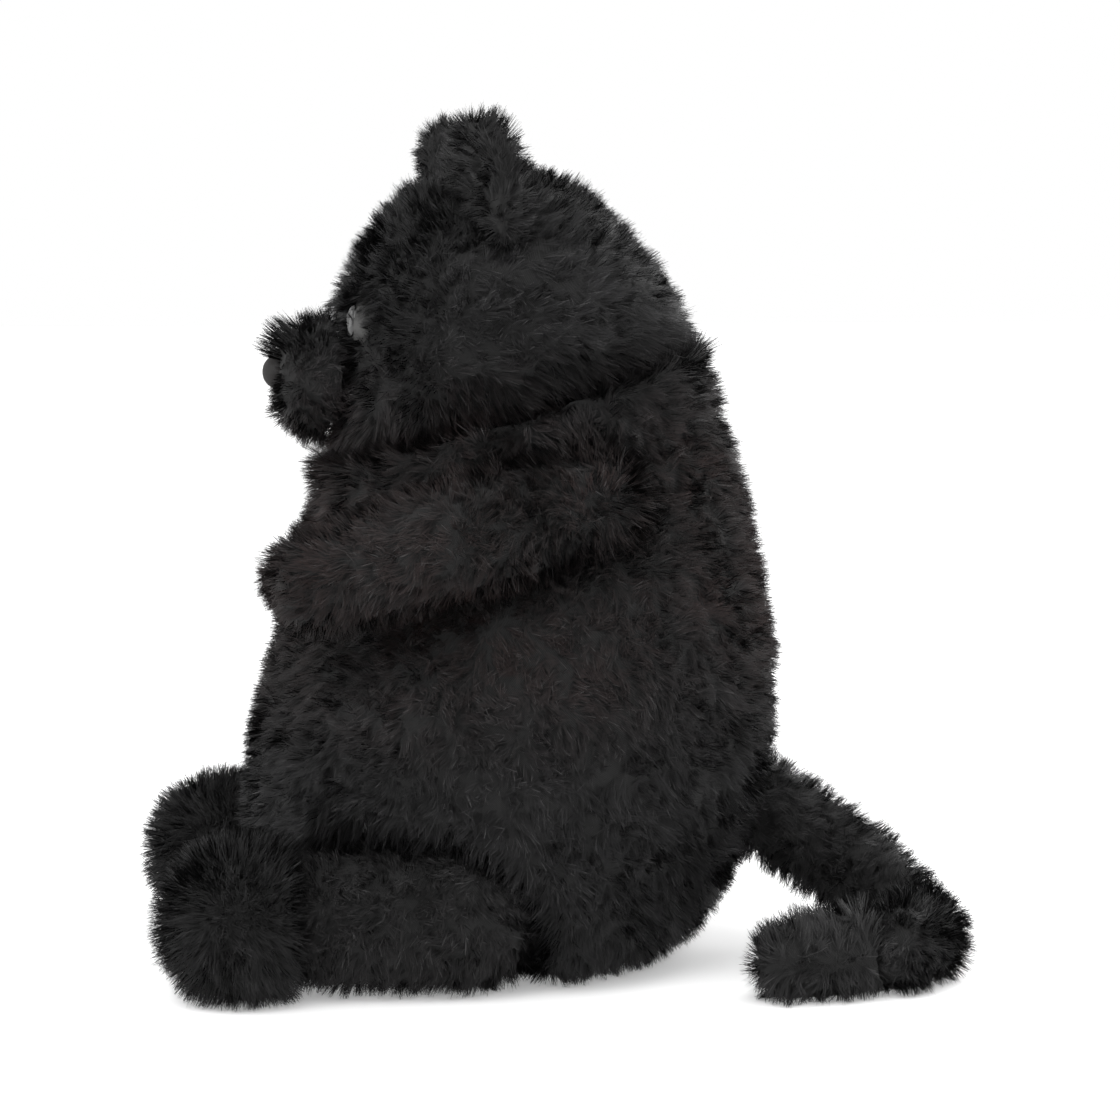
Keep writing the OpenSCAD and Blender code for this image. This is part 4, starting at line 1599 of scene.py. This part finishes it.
@dataclass
class Limbs:
    """The arms, the legs and the feet."""

    arm_length: float = 5.8
    foot_length: float = 6.6
    arm_sink: float = 15.0
    root_flat: float = 10.0
    root_reach: float = 36.0
    shoulder_radius: float = 19.0

    def flatten_root(self, points: np.ndarray, side: str) -> np.ndarray:
        """Flattens the root of an arm against the torso.

        Args:
            points: The skin's points.
            side: Which arm it is.

        Returns:
            The moved points.
        """
        middle, axis = joint_axis(f"arm_{side}_swing")
        # The axis leans up on either side, so it is turned to point out of this one
        out = unit(axis)
        out = out * np.sign(out[0]) * np.sign(middle[0])
        away = points - middle
        off = np.linalg.norm(away - (away @ out)[:, None] * out, axis=1) / MM
        near = np.clip(1 - (off - self.root_flat) / self.root_reach, 0, 1)
        near = near * near * (3 - 2 * near)
        return points - near[:, None] * out * self.arm_sink * MM

    def comb_shoulder(self, roots: np.ndarray, normals: np.ndarray, side: str) -> Trimmed:
        """Combs the pile at the shoulder out over the torso.

        Args:
            roots: The strands' lowest points.
            normals: The cloth's directions there; not used.
            side: Which arm it is.

        Returns:
            Length factors, extra directions and their shares.
        """
        place = joint_place(f"arm_{side}_swing")
        return comb_over_limb(
            roots, plain_trim(roots), place, place, self.shoulder_radius, 14.0, -1.0
        )

    def build(self) -> list[bpy.types.Object]:
        """Makes the limbs' pieces.

        Returns:
            The pieces.
        """
        made = []
        for i, side in enumerate(SIDES):
            sign = 1 if side == "left" else -1
            comb = partial(self.comb_shoulder, side=side)
            made += PaddedForm(
                f"arm_{side}", f"arm_{side}",
                (f"arm_upper_panel_{side}", f"arm_lower_panel_{side}"), (f"arm_stuffing_{side}",),
                Pile(length=self.arm_length, lay=Lay.ALONG, toward=(-0.2 * sign, -0.9, -0.35)),
                LIMB_PILE, "fur_limbs", voxel=3.5, puff=1.5, seed=11 + i,
                trims={f"arm_{part}_panel_{side}": comb for part in ("upper", "lower")},
                shape=partial(self.flatten_root, side=side), shape_filling=True,
            ).build()
            made += PaddedForm(
                f"leg_{side}", f"leg_{side}",
                (f"leg_upper_panel_{side}", f"leg_lower_panel_{side}"), (f"leg_stuffing_{side}",),
                Pile(lay=Lay.ALONG, toward=(0.1 * sign, -0.5, -0.8)),
                LIMB_PILE, "fur_limbs", voxel=3.5, puff=1.5, seed=15 + i,
            ).build()
            low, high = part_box(f"foot_cover_{side}")
            middle = tuple((low + high) / 2)
            made += PaddedForm(
                f"foot_{side}", f"foot_{side}", (f"foot_cover_{side}", f"foot_sole_{side}"),
                (f"foot_stuffing_{side}",),
                Pile(length=self.foot_length, lay=Lay.OUT, middle=middle, lay_share=0.1,
                     lift=1.0, mess=0.4, density=3.2),
                FOOT_PILE, "fur_limbs", voxel=3.0, inset=0.9, puff=1.0, seed=19 + i,
            ).build()
        return made


@dataclass
class Tail:
    """The long tail, which curls round to the left."""

    length: float = 6.2

    def build(self) -> list[bpy.types.Object]:
        """Makes the tail's pieces.

        Returns:
            The pieces.
        """
        made = []
        ways = {"root": (0.5, 0.6, -0.6), "bend": (0.9, -0.2, -0.1), "end": (0.2, -1.0, 0.0)}
        for i, (part, way) in enumerate(ways.items()):
            low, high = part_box(f"tail_{part}_top")
            parted = part == "end"
            made += PaddedForm(
                f"tail_{part}", f"tail_{part}", (f"tail_{part}_top", f"tail_{part}_bottom"),
                (f"tail_{part}_stuffing",),
                Pile(
                    length=self.length, toward=way, middle=(0, 0, low.z),
                    lay=Lay.PARTED if parted else Lay.ALONG, lay_share=0.6 if parted else 0.4,
                ),
                TAIL_PILE, "fur_tail", voxel=3.0, inset=0.8, puff=1.0, seed=23 + i,
            ).build()
        return made


# ---- What lies inside --------------------------------------------------------------


@dataclass
class Inside:
    """The CAD pieces that stay: neck wad, pellet bag, washers and closing stitches."""

    def build(self) -> None:
        """Dresses the CAD nodes that stay."""
        self.dress("neck_wad", DARK_FIBRE)
        self.dress("pellets", PELLETS)
        self.dress("closing_thread", THREAD)
        for node in ("pellet_bag_top", "pellet_bag_bottom"):
            self.dress(node, BAG_CLOTH)
        for node in ("eye_washer_left", "eye_washer_right", "nose_washer"):
            self.dress(node, WASHER)

    def dress(self, node: str, finish: Finish) -> None:
        """Gives a CAD node its finish.

        Args:
            node: The node's name.
            finish: What it is made of.
        """
        piece = frame["nodes"][node]
        for place in piece.material_slots:
            place.material = finish.material()
        LOG.info("%s: %s", node, finish.name)


# ---- Studio ------------------------------------------------------------------------


@dataclass(frozen=True)
class Lamp:
    """A soft rectangular lamp."""

    name: str
    place: tuple[float, float, float]
    size: float
    power: float
    colour: tuple[float, float, float] = (1.0, 1.0, 1.0)


@dataclass
class Studio:
    """The pale floor, the soft lamps and the camera."""

    azimuth: float = 82.0
    pitch: float = 5.9
    distance: float = 1.2
    target: tuple[float, float, float] = (0.0, 0.0378, 0.1355)
    lens: float = 112.1
    lamps: tuple[Lamp, ...] = (
        Lamp("key", (0.9, -0.5, 1.1), 0.9, 9.0),
        Lamp("fill", (0.9, 0.9, 0.6), 1.0, 4.0),
        Lamp("front", (-0.1, -1.2, 0.5), 0.9, 4.0),
        Lamp("rim", (-0.7, 0.9, 0.9), 0.8, 8.0),
    )

    def camera(self) -> None:
        """Adds the camera."""
        a, p = math.radians(self.azimuth), math.radians(self.pitch)
        back = Vector((math.sin(a) * math.cos(p), -math.cos(a) * math.cos(p), math.sin(p)))
        data = bpy.data.cameras.new("camera")
        data.lens = self.lens
        data.sensor_width = 36
        data.clip_start, data.clip_end = 0.05, 50
        made = bpy.data.objects.new("camera", data)
        made.location = Vector(self.target) + back * self.distance
        made.rotation_euler = (-back).to_track_quat("-Z", "Y").to_euler()
        bpy.context.scene.collection.objects.link(made)
        bpy.context.scene.camera = made

    def floor(self) -> None:
        """Adds the pale floor."""
        deselect()
        bpy.ops.mesh.primitive_plane_add(size=12)
        made = bpy.context.object
        made.name = "floor"
        material = bpy.data.materials.new("pale_floor")
        material.use_nodes = True
        shader = material.node_tree.nodes["Principled BSDF"]
        shader.inputs["Base Color"].default_value = (0.95, 0.95, 0.95, 1)
        shader.inputs["Roughness"].default_value = 0.9
        shader.inputs["Emission Color"].default_value = (1, 1, 1, 1)
        shader.inputs["Emission Strength"].default_value = 0.3
        made.data.materials.append(material)

    def light(self) -> None:
        """Adds the lamps and the pale surroundings."""
        middle = Vector((0, 0.03, 0.13))
        for lamp in self.lamps:
            data = bpy.data.lights.new(lamp.name, "AREA")
            data.energy = lamp.power
            data.size = lamp.size
            data.color = lamp.colour
            made = bpy.data.objects.new(lamp.name, data)
            made.location = lamp.place
            way = middle - Vector(lamp.place)
            made.rotation_euler = way.to_track_quat("-Z", "Y").to_euler()
            bpy.context.scene.collection.objects.link(made)
        world = bpy.data.worlds.new("surroundings")
        world.use_nodes = True
        back = world.node_tree.nodes["Background"]
        back.inputs["Color"].default_value = (1, 1, 1, 1)
        back.inputs["Strength"].default_value = 1.0
        bpy.context.scene.world = world
        bpy.context.scene.view_settings.view_transform = "Standard"

    def build(self) -> None:
        """Makes the studio."""
        self.camera()
        self.floor()
        self.light()


def main() -> None:
    """Builds the studio, dresses the CAD pieces that stay, then builds the cat's pieces in order."""
    logging.basicConfig(level=logging.INFO, format="%(message)s")
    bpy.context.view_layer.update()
    Studio().build()
    Inside().build()
    for part in (Torso(), Head(), Ears(), Limbs(), Tail()):
        made = part.build()
        LOG.info("%s: %d pieces", type(part).__name__, len(made))


if __name__ == "__main__":
    main()
